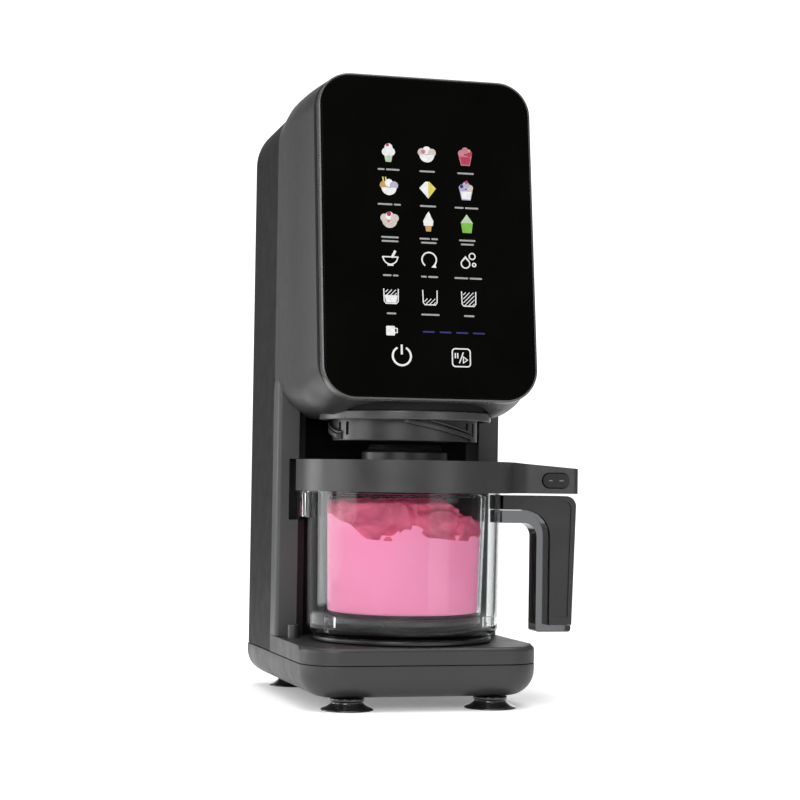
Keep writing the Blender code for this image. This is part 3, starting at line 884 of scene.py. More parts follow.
    def liner(self) -> None:
        """Black curved back of the bay."""
        outline = arc((0.0, AXIS_Y), self.bay + 0.0001, 33, 147, 72) + arc((0.0, AXIS_Y), 0.0760, 147, 33, 72)
        bm = slab(outline, self.deck_z + 0.0003, 0.1864)
        rounded_sharp(bm, 0.0004, 2, 60)
        publish("bay_back", bm, LINER, Body.HOUSING, ["bay_liner"])
        ends = []
        for a, b in ((38.5, 44.0), (136.0, 141.5)):
            band = arc((0.0, AXIS_Y), 0.0763, a, b, 6) + arc((0.0, AXIS_Y), 0.0795, b, a, 6)
            ends.append(slab(band, 0.1185, 0.1605))
        publish("bay_relief_ends", merged(*ends), LINER, Body.HOUSING)

    def rear_shell(self) -> None:
        """Rear half of the case with its vents."""
        bm = block((-self.half + 0.0006, self.seam, self.split_z), (self.half - 0.0006, self.rear, 0.41))
        for v in bm.verts:
            if v.co.z > 0.3:
                v.co.z = self.roof(v.co.y) - 0.0008
        rounded(bm, lambda a, b: near(a.x, b.x) and a.z > 0.3 and b.z > 0.3, 0.0305, 14)
        rounded(bm, lambda a, b: near(a.y, self.rear) and near(b.y, self.rear)
                and not (near(a.z, self.split_z) and near(b.z, self.split_z)), self.rear_radius, 8)
        open_faces = [f for f in bm.faces if all(near(v.co.y, self.seam) for v in f.verts)
                      or all(near(v.co.z, self.split_z) for v in f.verts)]
        bmesh.ops.delete(bm, geom=open_faces, context="FACES")
        slots = []
        for i in range(6):
            z = 0.0715 + 0.009 * i
            ends = arc((0.034, z), 0.0015, -90, 90, 6) + arc((-0.034, z), 0.0015, 90, 270, 6)
            slots.append(slab(ends, self.rear - 0.012, self.rear + 0.004, Plane.FRONT))
        bore = arc((0.040, 0.048), 0.0063, 0, 350, 35)
        cuts = merged(*slots, slab(bore, self.rear - 0.012, self.rear + 0.004, Plane.FRONT))
        # The rear cover's darker copy of the case charcoal is painted shade.
        publish("rear_cover", bm, SHADED_REAR, Body.HOUSING, ["rear_shell"], wall=self.wall,
                cut=cuts)

    def head_ring(self, behind: float) -> list[Point3]:
        """Cross section of the head at a distance behind the panel.

        Args:
            behind: Distance behind the panel's face.

        Returns:
            The points of the section.
        """
        s = max(0.0, 1.0 - behind / self.curve)
        half = self.half - 0.0063 * s * s
        rise = max(0.0, 1.0 - behind / 0.042)
        low, high = 0.1885 + 0.0095 * rise * (2 - rise), 0.4079 + 0.0017 * (1 - behind / self.curve)
        radius = 0.029 - 0.0055 * s
        return [(x, self.panel_y + 0.133 * (z - self.panel_z) + behind, z)
                for x, z in rounded_rect(half, low, high, radius, radius)]

    def head(self) -> None:
        """Head shell, rounded at its joint line and drawn in toward the panel."""
        rings = []
        for i in range(5):
            angle = math.radians(90 * i / 4)
            inset, y = 0.0016 * (1 - math.sin(angle)), self.seam - 0.0003 - 0.0016 * (1 - math.cos(angle))
            top = self.roof(self.seam)
            section = rounded_rect(self.half - inset, self.head_z + inset, top - inset, 0.031, 0.031)
            rings.append([(x, y, z) for x, z in section])
        rings += [self.head_ring(b) for b in (0.070, 0.058, 0.047, 0.037, 0.029, 0.022, 0.016, 0.011, 0.0072)]
        bm = loft(rings, capped=False)
        hole = arc((0.0, AXIS_Y), 0.0573, 0, 360 - 360 / 96, 95)
        publish("head_cover", bm, CASE, Body.HOUSING, ["head_shell"], wall=0.0022,
                cut=slab(hole, 0.178, 0.206))

    def stand(self) -> None:
        """Four suction feet."""
        profile = softened([(0.0, 0.0078), (0.0112, 0.0078), (0.0112, 0.0062), (0.0102, 0.0054),
                            (0.0108, 0.0040), (0.0130, 0.0026), (0.0168, 0.0010), (0.0170, 0.0000),
                            (0.0155, 0.0000), (0.0120, 0.0012), (0.0, 0.0020)], 0.0006, 3)
        for i, place in enumerate(self.feet):
            publish(f"suction_foot_{i + 1}", spun(profile, 64, centre=place), GLOSS, Body.HOUSING,
                    [f"foot_{i + 1}"])

    def gland(self) -> None:
        """Bush for a supply lead in the back wall."""
        profile = softened([(0.0035, 0.0), (0.0035, 0.011), (0.0059, 0.011), (0.0059, 0.0)], 0.0007, 3,
                           closed=True)
        bm = turned_about(spun(profile, 48, closed=True, centre=(0.0, 0.0)), 90, "X", (0.0, 0.0, 0.0))
        bmesh.ops.translate(bm, verts=bm.verts[:], vec=(0.040, self.rear - 0.0006, 0.048))
        publish("lead_bush", bm, BLACK, Body.HOUSING, ["cord_gland"])


# ------------------------------------------------------------------------------------- panel
@dataclass
class ControlPanel:
    """Leaning black glass with its rim and lit symbols."""

    half: float = 0.070
    base_y: float = -0.1043
    base_z: float = 0.1995
    radius: float = 0.0205
    length: float = (0.4083 - 0.1995) / math.cos(LEAN)
    columns: tuple[float, float, float] = (0.315, 0.500, 0.686)
    strokes: dict[str, list[bmesh.types.BMesh]] = field(default_factory=dict)

    def build(self) -> None:
        """Builds the glass, the rim and the symbols."""
        self.glass()
        self.rim()
        self.symbols()

    def tilt(self, bm: bmesh.types.BMesh) -> bmesh.types.BMesh:
        """Lays a mesh drawn about the panel's lower edge on the leaning panel.

        Args:
            bm: The mesh to lay on the panel.

        Returns:
            The same mesh.
        """
        bmesh.ops.rotate(bm, verts=bm.verts[:], cent=(0, 0, 0), matrix=Matrix.Rotation(-LEAN, 3, "X"))
        bmesh.ops.translate(bm, verts=bm.verts[:], vec=(0, self.base_y, self.base_z))
        return bm

    def ring(self, grow: float, depth: float) -> list[Point3]:
        """Outline of the panel, grown, at a depth behind its front."""
        return [(x, depth, z) for x, z in rounded_rect(self.half + grow, -grow, self.length + grow,
                                                       self.radius + grow, self.radius + grow, 18)]

    def glass(self) -> None:
        """Front glass with a small polished edge."""
        steps = [(-0.0008 * (1 - math.sin(a)), 0.0008 * (1 - math.cos(a)))
                 for a in (math.radians(22.5 * i) for i in range(5))]
        rings = [self.ring(g, d) for g, d in steps] + [self.ring(0.0, 0.0030)]
        publish("front_glass", self.tilt(loft(rings)), PanelGlass(), Body.HOUSING,
                ["control_panel"])

    def rim(self) -> None:
        """Thin rim around the glass."""
        section = softened([(0.0003, 0.0002), (0.0016, 0.0006), (0.0017, 0.0070), (0.0003, 0.0070)],
                           0.0005, 3, True)
        bm = loft([self.ring(g, d) for g, d in section], cyclic=True)
        publish("panel_rim", self.tilt(bm), RIM, Body.HOUSING, ["panel_bezel"])

    def spot(self, u: float, v: float) -> Point2:
        """A place on the panel from its shares of width and of height from the top."""
        return (2 * u - 1) * self.half, self.length * (1 - v)

    def shape(self, colour: str, outline: Sequence[Point2], holes: Iterable[Sequence[Point2]] = (),
              lift: float = 0.00012) -> None:
        """Adds a flat mark to one of the symbol colours."""
        self.strokes.setdefault(colour, []).append(slab(outline, -lift, 0.0001, Plane.FRONT, holes))

    def stroke(self, colour: str, path: Sequence[Point2], width: float) -> None:
        """Adds a line of even width through points.

        Args:
            colour: The symbol colour.
            path: The points that it runs through.
            width: Its width.
        """
        pts = [Vector(p) for p in path]
        left, right = [], []
        for i, p in enumerate(pts):
            ahead = (pts[min(i + 1, len(pts) - 1)] - pts[max(i - 1, 0)]).normalized()
            normal = Vector((-ahead.y, ahead.x)) * width / 2
            left.append(tuple(p + normal))
            right.append(tuple(p - normal))
        self.shape(colour, left + right[::-1])

    def disc(self, colour: str, centre: Point2, radius: float, lift: float = 0.00012) -> None:
        """Adds a filled disc."""
        self.shape(colour, arc(centre, radius, 0, 345, 23), lift=lift)

    def bar(self, colour: str, centre: Point2, width: float, height: float) -> None:
        """Adds a small rounded bar.

        Args:
            colour: The symbol colour.
            centre: Its middle.
            width: Its length along the row.
            height: Its thickness.
        """
        r = height * 0.45
        x, z = centre
        box = (arc((x + width / 2 - r, z - height / 2 + r), r, -90, 0, 3)
               + arc((x + width / 2 - r, z + height / 2 - r), r, 0, 90, 3)
               + arc((x - width / 2 + r, z + height / 2 - r), r, 90, 180, 3)
               + arc((x - width / 2 + r, z - height / 2 + r), r, 180, 270, 3))
        self.shape(colour, box)

    def caption(self, centre: Point2, *rows: Sequence[float]) -> None:
        """Adds rows of plain bars, given by their widths, in the place of a caption.

        Args:
            centre: The middle of the first row.
            rows: Widths of each row's bars.
        """
        gap, drop, height = 0.0010, 0.0026, 0.0011
        for row, widths in enumerate(rows):
            x = centre[0] - (sum(widths) + gap * (len(widths) - 1)) / 2
            for w in widths:
                self.bar("grey", (x + w / 2, centre[1] - row * drop), w, height)
                x += w + gap

    def cup(self, tone: str, fill: str, x: float, z: float, scoops: Sequence[str]) -> None:
        """A tapered cup with scoops.

        Args:
            tone: Colour of the cup.
            fill: Colour of its front.
            x: Its middle, across the panel.
            z: Its middle, up the panel.
            scoops: Colours of the scoops.
        """
        self.shape(tone, [(x - 0.0030, z - 0.0060), (x + 0.0030, z - 0.0060), (x + 0.0045, z + 0.0010),
                          (x - 0.0045, z + 0.0010)])
        self.shape(fill, [(x - 0.0027, z - 0.0053), (x + 0.0027, z - 0.0053), (x + 0.0037, z - 0.0002),
                          (x - 0.0037, z - 0.0002)], lift=0.00020)
        spots = ((-0.0026, 0.0022, 0.0022), (0.0026, 0.0022, 0.0022), (0.0000, 0.0040, 0.0023))
        for i, (tone_up, (dx, dz, r)) in enumerate(zip(scoops, spots)):
            self.disc(tone_up, (x + dx, z + dz), r, 0.00016 + 0.00003 * i)

    def cone(self, x: float, z: float) -> None:
        """A soft-serve cone.

        Args:
            x: Its middle, across the panel.
            z: Its middle, up the panel.
        """
        self.shape("amber", [(x - 0.0016, z - 0.0064), (x + 0.0016, z - 0.0064), (x + 0.0022, z - 0.0026),
                             (x - 0.0022, z - 0.0026)])
        self.shape("white", [(x - 0.0030, z - 0.0026), (x + 0.0030, z - 0.0026), (x + 0.0034, z + 0.0006),
                             (x + 0.0022, z + 0.0028), (x + 0.0013, z + 0.0050), (x + 0.0003, z + 0.0068),
                             (x - 0.0012, z + 0.0048), (x - 0.0022, z + 0.0028), (x - 0.0034, z + 0.0006)])

    def bowl(self, x: float, z: float, scoops: Sequence[str], base: str = "white") -> None:
        """A shallow bowl of scoops.

        Args:
            x: Its middle, across the panel.
            z: Its middle, up the panel.
            scoops: Colours of the scoops.
            base: Colour of the bowl.
        """
        for i, tone in enumerate(scoops):
            dx = (i - (len(scoops) - 1) / 2) * 0.0034
            self.disc(tone, (x + dx, z + 0.0014 + (0.0014 if i % 2 else 0.0)), 0.0027, 0.00016 + 0.00003 * i)
        self.shape(base, arc((x, z - 0.0002), 0.0050, 180, 360, 14), lift=0.00028)

    def desserts(self) -> None:
        """Three rows of coloured dessert symbols."""
        rows = (0.240, 0.350, 0.453)
        (a, b, c), (d, e, f), (g, h, i) = [[self.spot(u, v) for u in self.columns] for v in rows]
        self.shape("mint", [(a[0] - 0.0018, a[1] - 0.0062), (a[0] + 0.0018, a[1] - 0.0062),
                            (a[0] + 0.0028, a[1] - 0.0016), (a[0] - 0.0028, a[1] - 0.0016)])
        for k, (dx, dz) in enumerate(((-0.0016, 0.0004), (0.0018, 0.0006), (0.0002, 0.0034))):
            self.disc("white", (a[0] + dx, a[1] + dz), 0.0027, 0.00016 + 0.00003 * k)
        self.disc("ruby", (a[0] - 0.0006, a[1] + 0.0050), 0.0011, 0.00030)
        self.bowl(b[0], b[1], ("cream", "white", "cream"))
        self.disc("rose", (b[0] - 0.0024, b[1] + 0.0018), 0.0014, 0.00030)
        self.cup("rose", "ruby", c[0], c[1], ("rose", "ruby", "rose"))
        self.disc("amber", (c[0] + 0.0026, c[1] + 0.0040), 0.0011, 0.00030)
        self.bowl(d[0], d[1], ("amber", "white", "lilac"))
        for dx in (-0.0034, -0.0016):
            self.stroke("lemon", [(d[0] + dx - 0.0006, d[1] + 0.0068), (d[0] + dx, d[1] + 0.0026)], 0.0009)
        self.shape("lemon", [(e[0] + 0.0004, e[1] - 0.0062), (e[0] + 0.0056, e[1] + 0.0006),
                             (e[0] + 0.0014, e[1] + 0.0050), (e[0] + 0.0004, e[1] + 0.0050)])
        self.shape("white", [(e[0] + 0.0004, e[1] - 0.0062), (e[0] + 0.0004, e[1] + 0.0050),
                             (e[0] - 0.0014, e[1] + 0.0050), (e[0] - 0.0056, e[1] + 0.0006)])
        self.cup("lilac", "white", f[0], f[1], ("lilac", "cream", "lilac"))
        self.disc("blue", (f[0] - 0.0030, f[1] + 0.0030), 0.0012, 0.00030)
        self.disc("ruby", (f[0] + 0.0004, f[1] + 0.0060), 0.0011, 0.00030)
        self.bowl(g[0], g[1], ("cream", "white", "cream"), "cream")
        self.disc("ruby", (g[0] - 0.0004, g[1] + 0.0040), 0.0015, 0.00030)
        self.disc("rose", (g[0] - 0.0008, g[1] - 0.0008), 0.0009, 0.00034)
        self.cone(h[0], h[1])
        self.shape("lime", [(i[0] - 0.0030, i[1] - 0.0062), (i[0] + 0.0030, i[1] - 0.0062),
                            (i[0] + 0.0040, i[1] + 0.0004), (i[0] - 0.0040, i[1] + 0.0004)])
        self.shape("mint", [(i[0] - 0.0042, i[1] + 0.0004), (i[0] + 0.0042, i[1] + 0.0004),
                            (i[0], i[1] + 0.0062)])
        drop = 0.0113
        self.caption((a[0], a[1] - drop), (0.0046, 0.0090))
        self.caption((b[0], b[1] - drop), (0.0104,))
        self.caption((c[0], c[1] - drop), (0.0112,))
        self.caption((d[0], d[1] - drop), (0.0098, 0.0046))
        self.caption((e[0], e[1] - drop), (0.0108,))
        self.caption((f[0], f[1] - drop), (0.0060, 0.0090))
        self.caption((g[0], g[1] - drop), (0.0116,), (0.0112,))
        self.caption((h[0], h[1] - drop), (0.0070, 0.0044), (0.0104,))
        self.caption((i[0], i[1] - drop), (0.0110,), (0.0088,))

    def tank(self, x: float, z: float, floor: float, low: float, high: float) -> None:
        """An open tank, filled to a floor and hatched between two heights.

        Args:
            x: Its middle, across the panel.
            z: Its middle, up the panel.
            floor: Top of the filling, from the middle.
            low: Where the hatching starts, from the middle.
            high: Where the hatching ends, from the middle.
        """
        line, spacing, hatch = 0.0007, 0.0026, 0.0005
        self.stroke("white", [(x - 0.0048, z + 0.0048), (x - 0.0046, z - 0.0034), (x - 0.0036, z - 0.0048),
                              (x + 0.0036, z - 0.0048), (x + 0.0046, z - 0.0034), (x + 0.0048, z + 0.0048)],
                    line)
        if floor > -0.0040:
            self.shape("white", [(x - 0.0034, z - 0.0042), (x + 0.0034, z - 0.0042), (x + 0.0042, z + floor),
                                 (x - 0.0042, z + floor)])
        tall = high - low
        for k in range(-4, 4):
            start = -0.0030 + k * spacing
            left, right = max(start, -0.0037), min(start + tall, 0.0037)
            if right - left > 0.0008:
                self.stroke("white", [(x + left, z + low + left - start),
                                      (x + right, z + low + right - start)], hatch)

    def programs(self) -> None:
        """Two rows of white line symbols."""
        line = 0.0008
        (a, b, c), (d, e, f) = [[self.spot(u, v) for u in self.columns] for v in (0.572, 0.690)]
        x, z = a
        self.stroke("white", [(x - 0.0054, z + 0.0008)] + arc((x, z + 0.0008), 0.0048, 190, 350, 14)
                    + [(x + 0.0054, z + 0.0008), (x - 0.0054, z + 0.0008)], line)
        self.stroke("white", [(x + 0.0010, z + 0.0004), (x + 0.0034, z + 0.0050)], 0.0016)
        self.stroke("white", [(x - 0.0020, z - 0.0046), (x + 0.0020, z - 0.0046)], line)
        x, z = b
        self.stroke("white", arc((x, z), 0.0048, -50, 235, 34), line * 1.15)
        self.shape("white", [(x + 0.0014, z - 0.0050), (x + 0.0046, z - 0.0052), (x + 0.0040, z - 0.0022)])
        x, z = c
        drop = [(x - 0.0016, z + 0.0036)] + arc((x - 0.0016, z - 0.0016), 0.0033, 150, 390, 16)
        inner = [(x - 0.0016, z + 0.0018)] + arc((x - 0.0016, z - 0.0016), 0.0025, 150, 390, 16)
        self.shape("white", drop, [inner])
        for dx, dz, r in ((0.0030, 0.0034, 0.0024), (0.0042, -0.0022, 0.0015)):
            outer, inner = [arc((x + dx, z + dz), size, 0, 345, 23) for size in (r, r - 0.0008)]
            self.shape("white", outer, [inner])
        self.tank(*d, 0.0006, 0.0006, 0.0042)
        self.tank(*e, -0.0042, -0.0046, -0.0008)
        self.tank(*f, -0.0042, -0.0046, 0.0042)
        drop = 0.0113
        for centre, *bars in ((a, 0.0056, 0.0036), (b, 0.0038, 0.0066), (c, 0.0092, 0.0084),
                              (d, 0.0062), (e, 0.0122), (f, 0.0070)):
            self.caption((centre[0], centre[1] - drop), bars)

    def controls(self) -> None:
        """Jug mark, level dashes and the two large touch marks."""
        x, z = self.spot(self.columns[0], 0.797)
        body = rounded_rect(0.0029, -0.0031, 0.0031, 0.0007, 0.0007, 3)
        self.shape("white", [(x - 0.0008 + a, z + b) for a, b in body])
        self.stroke("white", [(x + 0.0020, z + 0.0016), (x + 0.0036, z + 0.0016), (x + 0.0036, z - 0.0012),
                              (x + 0.0020, z - 0.0012)], 0.0008)
        for k in range(4):
            self.bar("blue", (self.spot(0.490 + 0.080 * k, 0.797)[0], z), 0.0080, 0.0010)
        x, z = self.spot(0.360, 0.874)
        self.stroke("white", arc((x, z), 0.0060, 118, 422, 36), 0.0013)
        self.stroke("white", [(x, z + 0.0074), (x, z + 0.0010)], 0.0013)
        x, z = self.spot(0.643, 0.874)
        outer = [(x + a, z + b) for a, b in rounded_rect(0.0064, -0.0062, 0.0062, 0.0024, 0.0024, 6)]
        inner = [(x + a, z + b) for a, b in rounded_rect(0.0056, -0.0054, 0.0054, 0.0017, 0.0017, 6)]
        self.shape("white", outer, [inner])
        for dx in (-0.0040, -0.0024):
            self.stroke("white", [(x + dx, z + 0.0030), (x + dx, z - 0.0004)], 0.0008)
        self.stroke("white", [(x + 0.0014, z + 0.0036), (x - 0.0014, z - 0.0036)], 0.0007)
        self.shape("white", [(x + 0.0010, z - 0.0040), (x + 0.0010, z + 0.0012), (x + 0.0046, z - 0.0014)],
                   [[(x + 0.0017, z - 0.0028), (x + 0.0017, z), (x + 0.0036, z - 0.0014)]])

    def symbols(self) -> None:
        """Builds all symbols, one piece for each colour."""
        self.desserts()
        self.programs()
        self.controls()
        tones = {"white": ((0.95, 0.95, 0.96), 0.85), "grey": ((0.80, 0.80, 0.82), 0.42),
                 "cream": ((0.80, 0.70, 0.62), 0.75),
                 "rose": ((0.75, 0.25, 0.32), 0.7), "ruby": ((0.60, 0.03, 0.10), 0.7),
                 "lemon": ((0.85, 0.72, 0.10), 0.8), "lime": ((0.25, 0.65, 0.06), 0.7),
                 "mint": ((0.65, 0.82, 0.55), 0.7), "lilac": ((0.60, 0.55, 0.80), 0.7),
                 "amber": ((0.75, 0.42, 0.12), 0.7), "blue": ((0.015, 0.015, 0.20), 0.8)}
        for tone, forms in self.strokes.items():
            bm = merged(*forms)
            publish(f"symbols_{tone}", self.tilt(bm), Lit(f"lit_{tone}", *tones[tone]), Body.HOUSING,
                    even=False)


# ------------------------------------------------------------------------------------ collar
@dataclass
class Collar:
    """Locking collar under the head, with its ramps, slots and trim ring."""

    low: float = 0.172
    radius: float = 0.048
    ribs: int = 3

    def build(self) -> None:
        """Builds the collar and the trim ring."""
        profile = softened([(0.0440, 0.1927), (0.0520, 0.1927), (0.0520, 0.1873), (self.radius, 0.1866),
                            (self.radius, self.low), (0.0440, self.low)], 0.0009, 4, closed=True)
        slots = []
        for i in range(self.ribs):
            for turn in (-168, -157):
                slot = block((0.040, AXIS_Y - 0.0015, 0.1758), (0.058, AXIS_Y + 0.0015, 0.1845))
                rounded(slot, lambda a, b: near(a.y, b.y) and near(a.z, b.z), 0.0005, 2)
                slots.append(turned_about(slot, turn + 120 * i))
        publish("locking_collar", spun(profile, 144, closed=True), TRIM, Body.HOUSING,
                ["lock_collar"], cut=merged(*slots))
        ramps = []
        for i in range(self.ribs):
            ramps.append(self.ramp(-106 + 120 * i, 62, 0.1855, 0.1745, 0.0016))
            ramps.append(self.ramp(-88 + 120 * i, 44, 0.1860, 0.1772, 0.0009))
        publish("collar_ramps", merged(*ramps), TRIM, Body.HOUSING)
        trim = softened([(0.0525, 0.1858), (0.0525, 0.1915), (0.0570, 0.1915), (0.0570, 0.1858)],
                        0.0009, 4, True)
        publish("collar_trim_ring", spun(trim, 144, closed=True), FLANGE, Body.HOUSING,
                ["collar_trim"])
        neck = softened([(0.0528, 0.1917), (0.0528, 0.1995), (0.0556, 0.1995), (0.0556, 0.1917)],
                        0.0004, 2, True)
        publish("collar_neck", spun(neck, 144, closed=True), LINER, Body.HOUSING)

    def ramp(self, start: float, sweep: float, high: float, low: float, half: float) -> bmesh.types.BMesh:
        """One helical ramp that runs down around the collar.

        Args:
            start: Its first angle in degrees.
            sweep: How far it runs around.
            high: Height at its start.
            low: Height at its end.
            half: Half of its thickness.

        Returns:
            The mesh of the ramp.
        """
        inner, outer, steps = 0.0478, 0.0510, 40
        run_out, stub = 3, 0.35
        section = softened([(inner, -half), (outer, -half), (outer, half), (inner, half)], 0.0008, 3, True)
        rings = []
        for i in range(steps + 1):
            angle = math.radians(start + sweep * i / steps)
            mid = high + (low - high) * i / steps
            fade = min(1.0, (steps - i) / run_out + stub, i / run_out + stub)
            reach = [(inner + (r - inner) * fade, mid + dz) for r, dz in section]
            rings.append([(r * math.cos(angle), AXIS_Y + r * math.sin(angle), z) for r, z in reach])
        return loft(rings)


# --------------------------------------------------------------------------------------- jug
@dataclass
class Jug:
    """Clear vessel, tub, dessert, handle, lid, button and hub."""

    radius: float = 0.0645
    lid_radius: float = 0.0720
    lid_z: float = 0.1390
    lid_top: float = 0.1596
    recess: float = 0.0570
    reach: float = 0.1190
    hem: tuple[Point2, ...] = (
        (0, 0.111), (60, 0.117), (120, 0.114), (185, 0.1240), (208, 0.1185), (230, 0.1080), (246, 0.1072),
        (256, 0.1150), (264, 0.1142), (274, 0.1096), (300, 0.1078), (316, 0.1070), (332, 0.1092),
        (360, 0.111))
    brow: tuple[Point2, ...] = (
        (0, 0.122), (60, 0.130), (120, 0.132), (185, 0.1345), (225, 0.1350), (252, 0.1362), (270, 0.1350),
        (292, 0.1362), (308, 0.1300), (322, 0.1215), (360, 0.122))

    def build(self) -> None:
        """Builds every piece of the jug."""
        self.vessel()
        self.tub()
        self.dessert()
        self.handle()
        self.lid()
        self.button()
        self.hub()

    def vessel(self) -> None:
        """Outer vessel with its rim, foot and side lug."""
        profile = softened([(0.0, 0.0447), (0.0590, 0.0447), (0.0635, 0.0490), (self.radius, 0.1470),
                            (0.0617, 0.1470), (0.0606, 0.0510), (0.0570, 0.0482), (0.0, 0.0482)], 0.0018, 5)
        publish("clear_vessel", spun(profile, 144), VESSEL, Body.JUG, ["outer_jug"])
        lug = block((-0.0688, AXIS_Y - 0.009, 0.1215), (-0.0641, AXIS_Y + 0.009, 0.1386))
        rounded_sharp(lug, 0.0012, 4)
        ribs = []
        for turn in (20, 160, 200, 340):
            rib = block((0.0535, AXIS_Y - 0.0022, 0.0486), (0.0600, AXIS_Y + 0.0022, 0.0575))
            rounded_sharp(rib, 0.0008, 3)
            ribs.append(turned_about(rib, turn))
        publish("vessel_lug", merged(lug, *ribs), VESSEL, Body.JUG)
        seat = softened([(0.0, 0.0567), (0.0515, 0.0567), (0.0515, 0.0530), (0.0460, 0.0484), (0.0, 0.0484)],
                        0.0010, 4)
        publish("tub_seat_disc", spun(seat, 96), BLACK, Body.JUG, ["tub_seat"])

    def tub(self) -> None:
        """Inner tub with its rolled rim."""
        profile = softened([(0.0, 0.0570), (0.0500, 0.0570), (0.0521, 0.0592), (0.0545, 0.1362),
                            (0.0560, 0.1365), (0.0560, 0.1380), (0.0527, 0.1380), (0.0503, 0.0604),
                            (0.0490, 0.0593), (0.0, 0.0593)], 0.0012, 4)
        publish("clear_tub", spun(profile, 144), TUB, Body.JUG, ["inner_tub"])

    def dessert(self) -> None:
        """Smooth dessert below and the creased heap that the blade left on top."""
        wall = [(0.0, 0.0597), (0.0484, 0.0597), (0.0497, 0.0612)]
        wall += [(0.0497 + 0.0010 * k / 12, 0.0612 + 0.0640 * k / 12) for k in range(1, 13)]
        wall += [(0.0490, 0.1258), (0.0380, 0.1262), (0.0, 0.1262)]
        bm = spun(wall, 160)
        for v in bm.verts:
            if v.co.z > 0.1045:
                turn = math.degrees(math.atan2(v.co.y - AXIS_Y, v.co.x)) % 360.0
                cap = min(eased(self.hem, turn) + 0.004, eased(self.brow, turn) - 0.002)
                v.co.z = 0.1045 + (v.co.z - 0.1045) / 0.0217 * (cap - 0.1045)
        publish("dessert_body", bm, SOFT, Body.JUG, ["ice_cream"], even=False, angle=60)
        rings = [[self.heap_point(2 * math.pi * i / 240, k / 70) for i in range(240)] for k in range(71)]
        publish("dessert_heap", loft(rings), CREASED, Body.JUG, even=False, angle=75)

    def heap_point(self, angle: float, along: float) -> Point3:
        """A point on the heap.

        Args:
            angle: Direction from the jug's axis.
            along: 0 at the hidden inner edge, 1 at the middle of the top.

        Returns:
            The point.
        """
        turn = math.degrees(angle) % 360.0
        hem, brow = eased(self.hem, turn), eased(self.brow, turn)
        if along < 0.12:
            radius, height = 0.0470 + 0.0036 * along / 0.12, hem + 0.0010 * (1 - along / 0.12)
        elif along < 0.45:
            t = (along - 0.12) / 0.33
            radius = 0.0506 + 0.0008 * math.sin(math.pi * min(1.0, t * 1.4))
            height = hem + (brow - hem) * t * 0.86
        else:
            t = (along - 0.45) / 0.55
            radius = 0.0512 * (1 - t)
            dome = 0.86 + 0.14 * math.sin(math.pi / 2 * min(1.0, 2.2 * t))
            height = hem + (brow - hem) * dome + 0.001 * t
        x, y = math.cos(angle), math.sin(angle)
        spot = Vector((2.1 * x * radius / 0.05, 2.1 * y * radius / 0.05, height * 46))
        drift = Vector((noise.noise(spot * 0.9), noise.noise(spot * 0.9 + Vector((4.0, 2.0, 1.0))), 0.0))
        drift *= 0.9
        fold = abs(noise.noise(spot * 0.8 + drift)) + 0.35 * abs(noise.noise(spot * 2.1 + drift * 2))
        crease = max(0.0, 0.30 - fold) / 0.30
        edge = min(1.0, max(0.0, along - 0.12) / 0.10)
        radius -= edge * (0.0058 * crease ** 1.3 + 0.0005 * noise.noise(spot * 6))
        top = min(1.0, max(0.0, along - 0.30) / 0.2)
        height -= top * 0.0035 * crease - edge * 0.0006 * noise.noise(spot * 4)
        return max(radius, 0.0) * x, AXIS_Y + max(radius, 0.0) * y, min(height, 0.1363)

    def inner_edge(self, offset: float, steps: int = 12) -> list[Point2]:
        """Inner edge of the handle, moved outward.

        Args:
            offset: Distance outward from the edge itself.
            steps: Chords of the bend.

        Returns:
            The points, from the jug to the open end.
        """
        x, z, r = 0.091, 0.1190, 0.009
        bend = arc((x - r, z - r), r + offset, 90, 0, steps)
        return [(0.0664, z + offset)] + bend + [(x + offset, 0.0520)]

    def handle(self) -> None:
        """Clear inner strip and dark cover with a sunk side."""
        strip = (self.inner_edge(0.0) + arc((0.0930, 0.0480), 0.0020, 180, 270, 4)
                 + arc((0.1140, 0.0480), 0.0020, 270, 360, 4) + [(0.1160, 0.0505), (0.0995, 0.0505)]
                 + list(reversed(self.inner_edge(0.0085)))[1:])
        bm = slab(strip, AXIS_Y - 0.0076, AXIS_Y + 0.0076, Plane.FRONT)
        rounded_sharp(bm, 0.0012, 3)
        publish("handle_strip", bm, STRIP, Body.JUG, ["jug_handle"])
        cover = (self.inner_edge(0.0089)[:-1] + [(0.0999, 0.0508), (0.1158, 0.0508)]
                 + arc((0.1183 - 0.007, 0.1375 - 0.007), 0.007, 0, 90, 10) + [(0.0664, 0.1375)])
        bm = slab(cover, AXIS_Y - 0.0098, AXIS_Y + 0.0098, Plane.FRONT)
        rounded_sharp(bm, 0.0018, 4)
        inset = []
        for y0, y1 in ((AXIS_Y - 0.02, AXIS_Y - 0.0089), (AXIS_Y + 0.0089, AXIS_Y + 0.02)):
            sunk = ([(0.1030, 0.0560), (0.1130, 0.0560)]
                    + arc((0.1148 - 0.004, 0.1335 - 0.004), 0.004, 0, 90, 6)
                    + arc((0.1030 + 0.003, 0.1335 - 0.003), 0.003, 90, 180, 6))
            inset.append(slab(sunk, y0, y1, Plane.FRONT))
        publish("handle_shell", bm, GRIP, Body.JUG, ["handle_cover"], cut=merged(*inset))

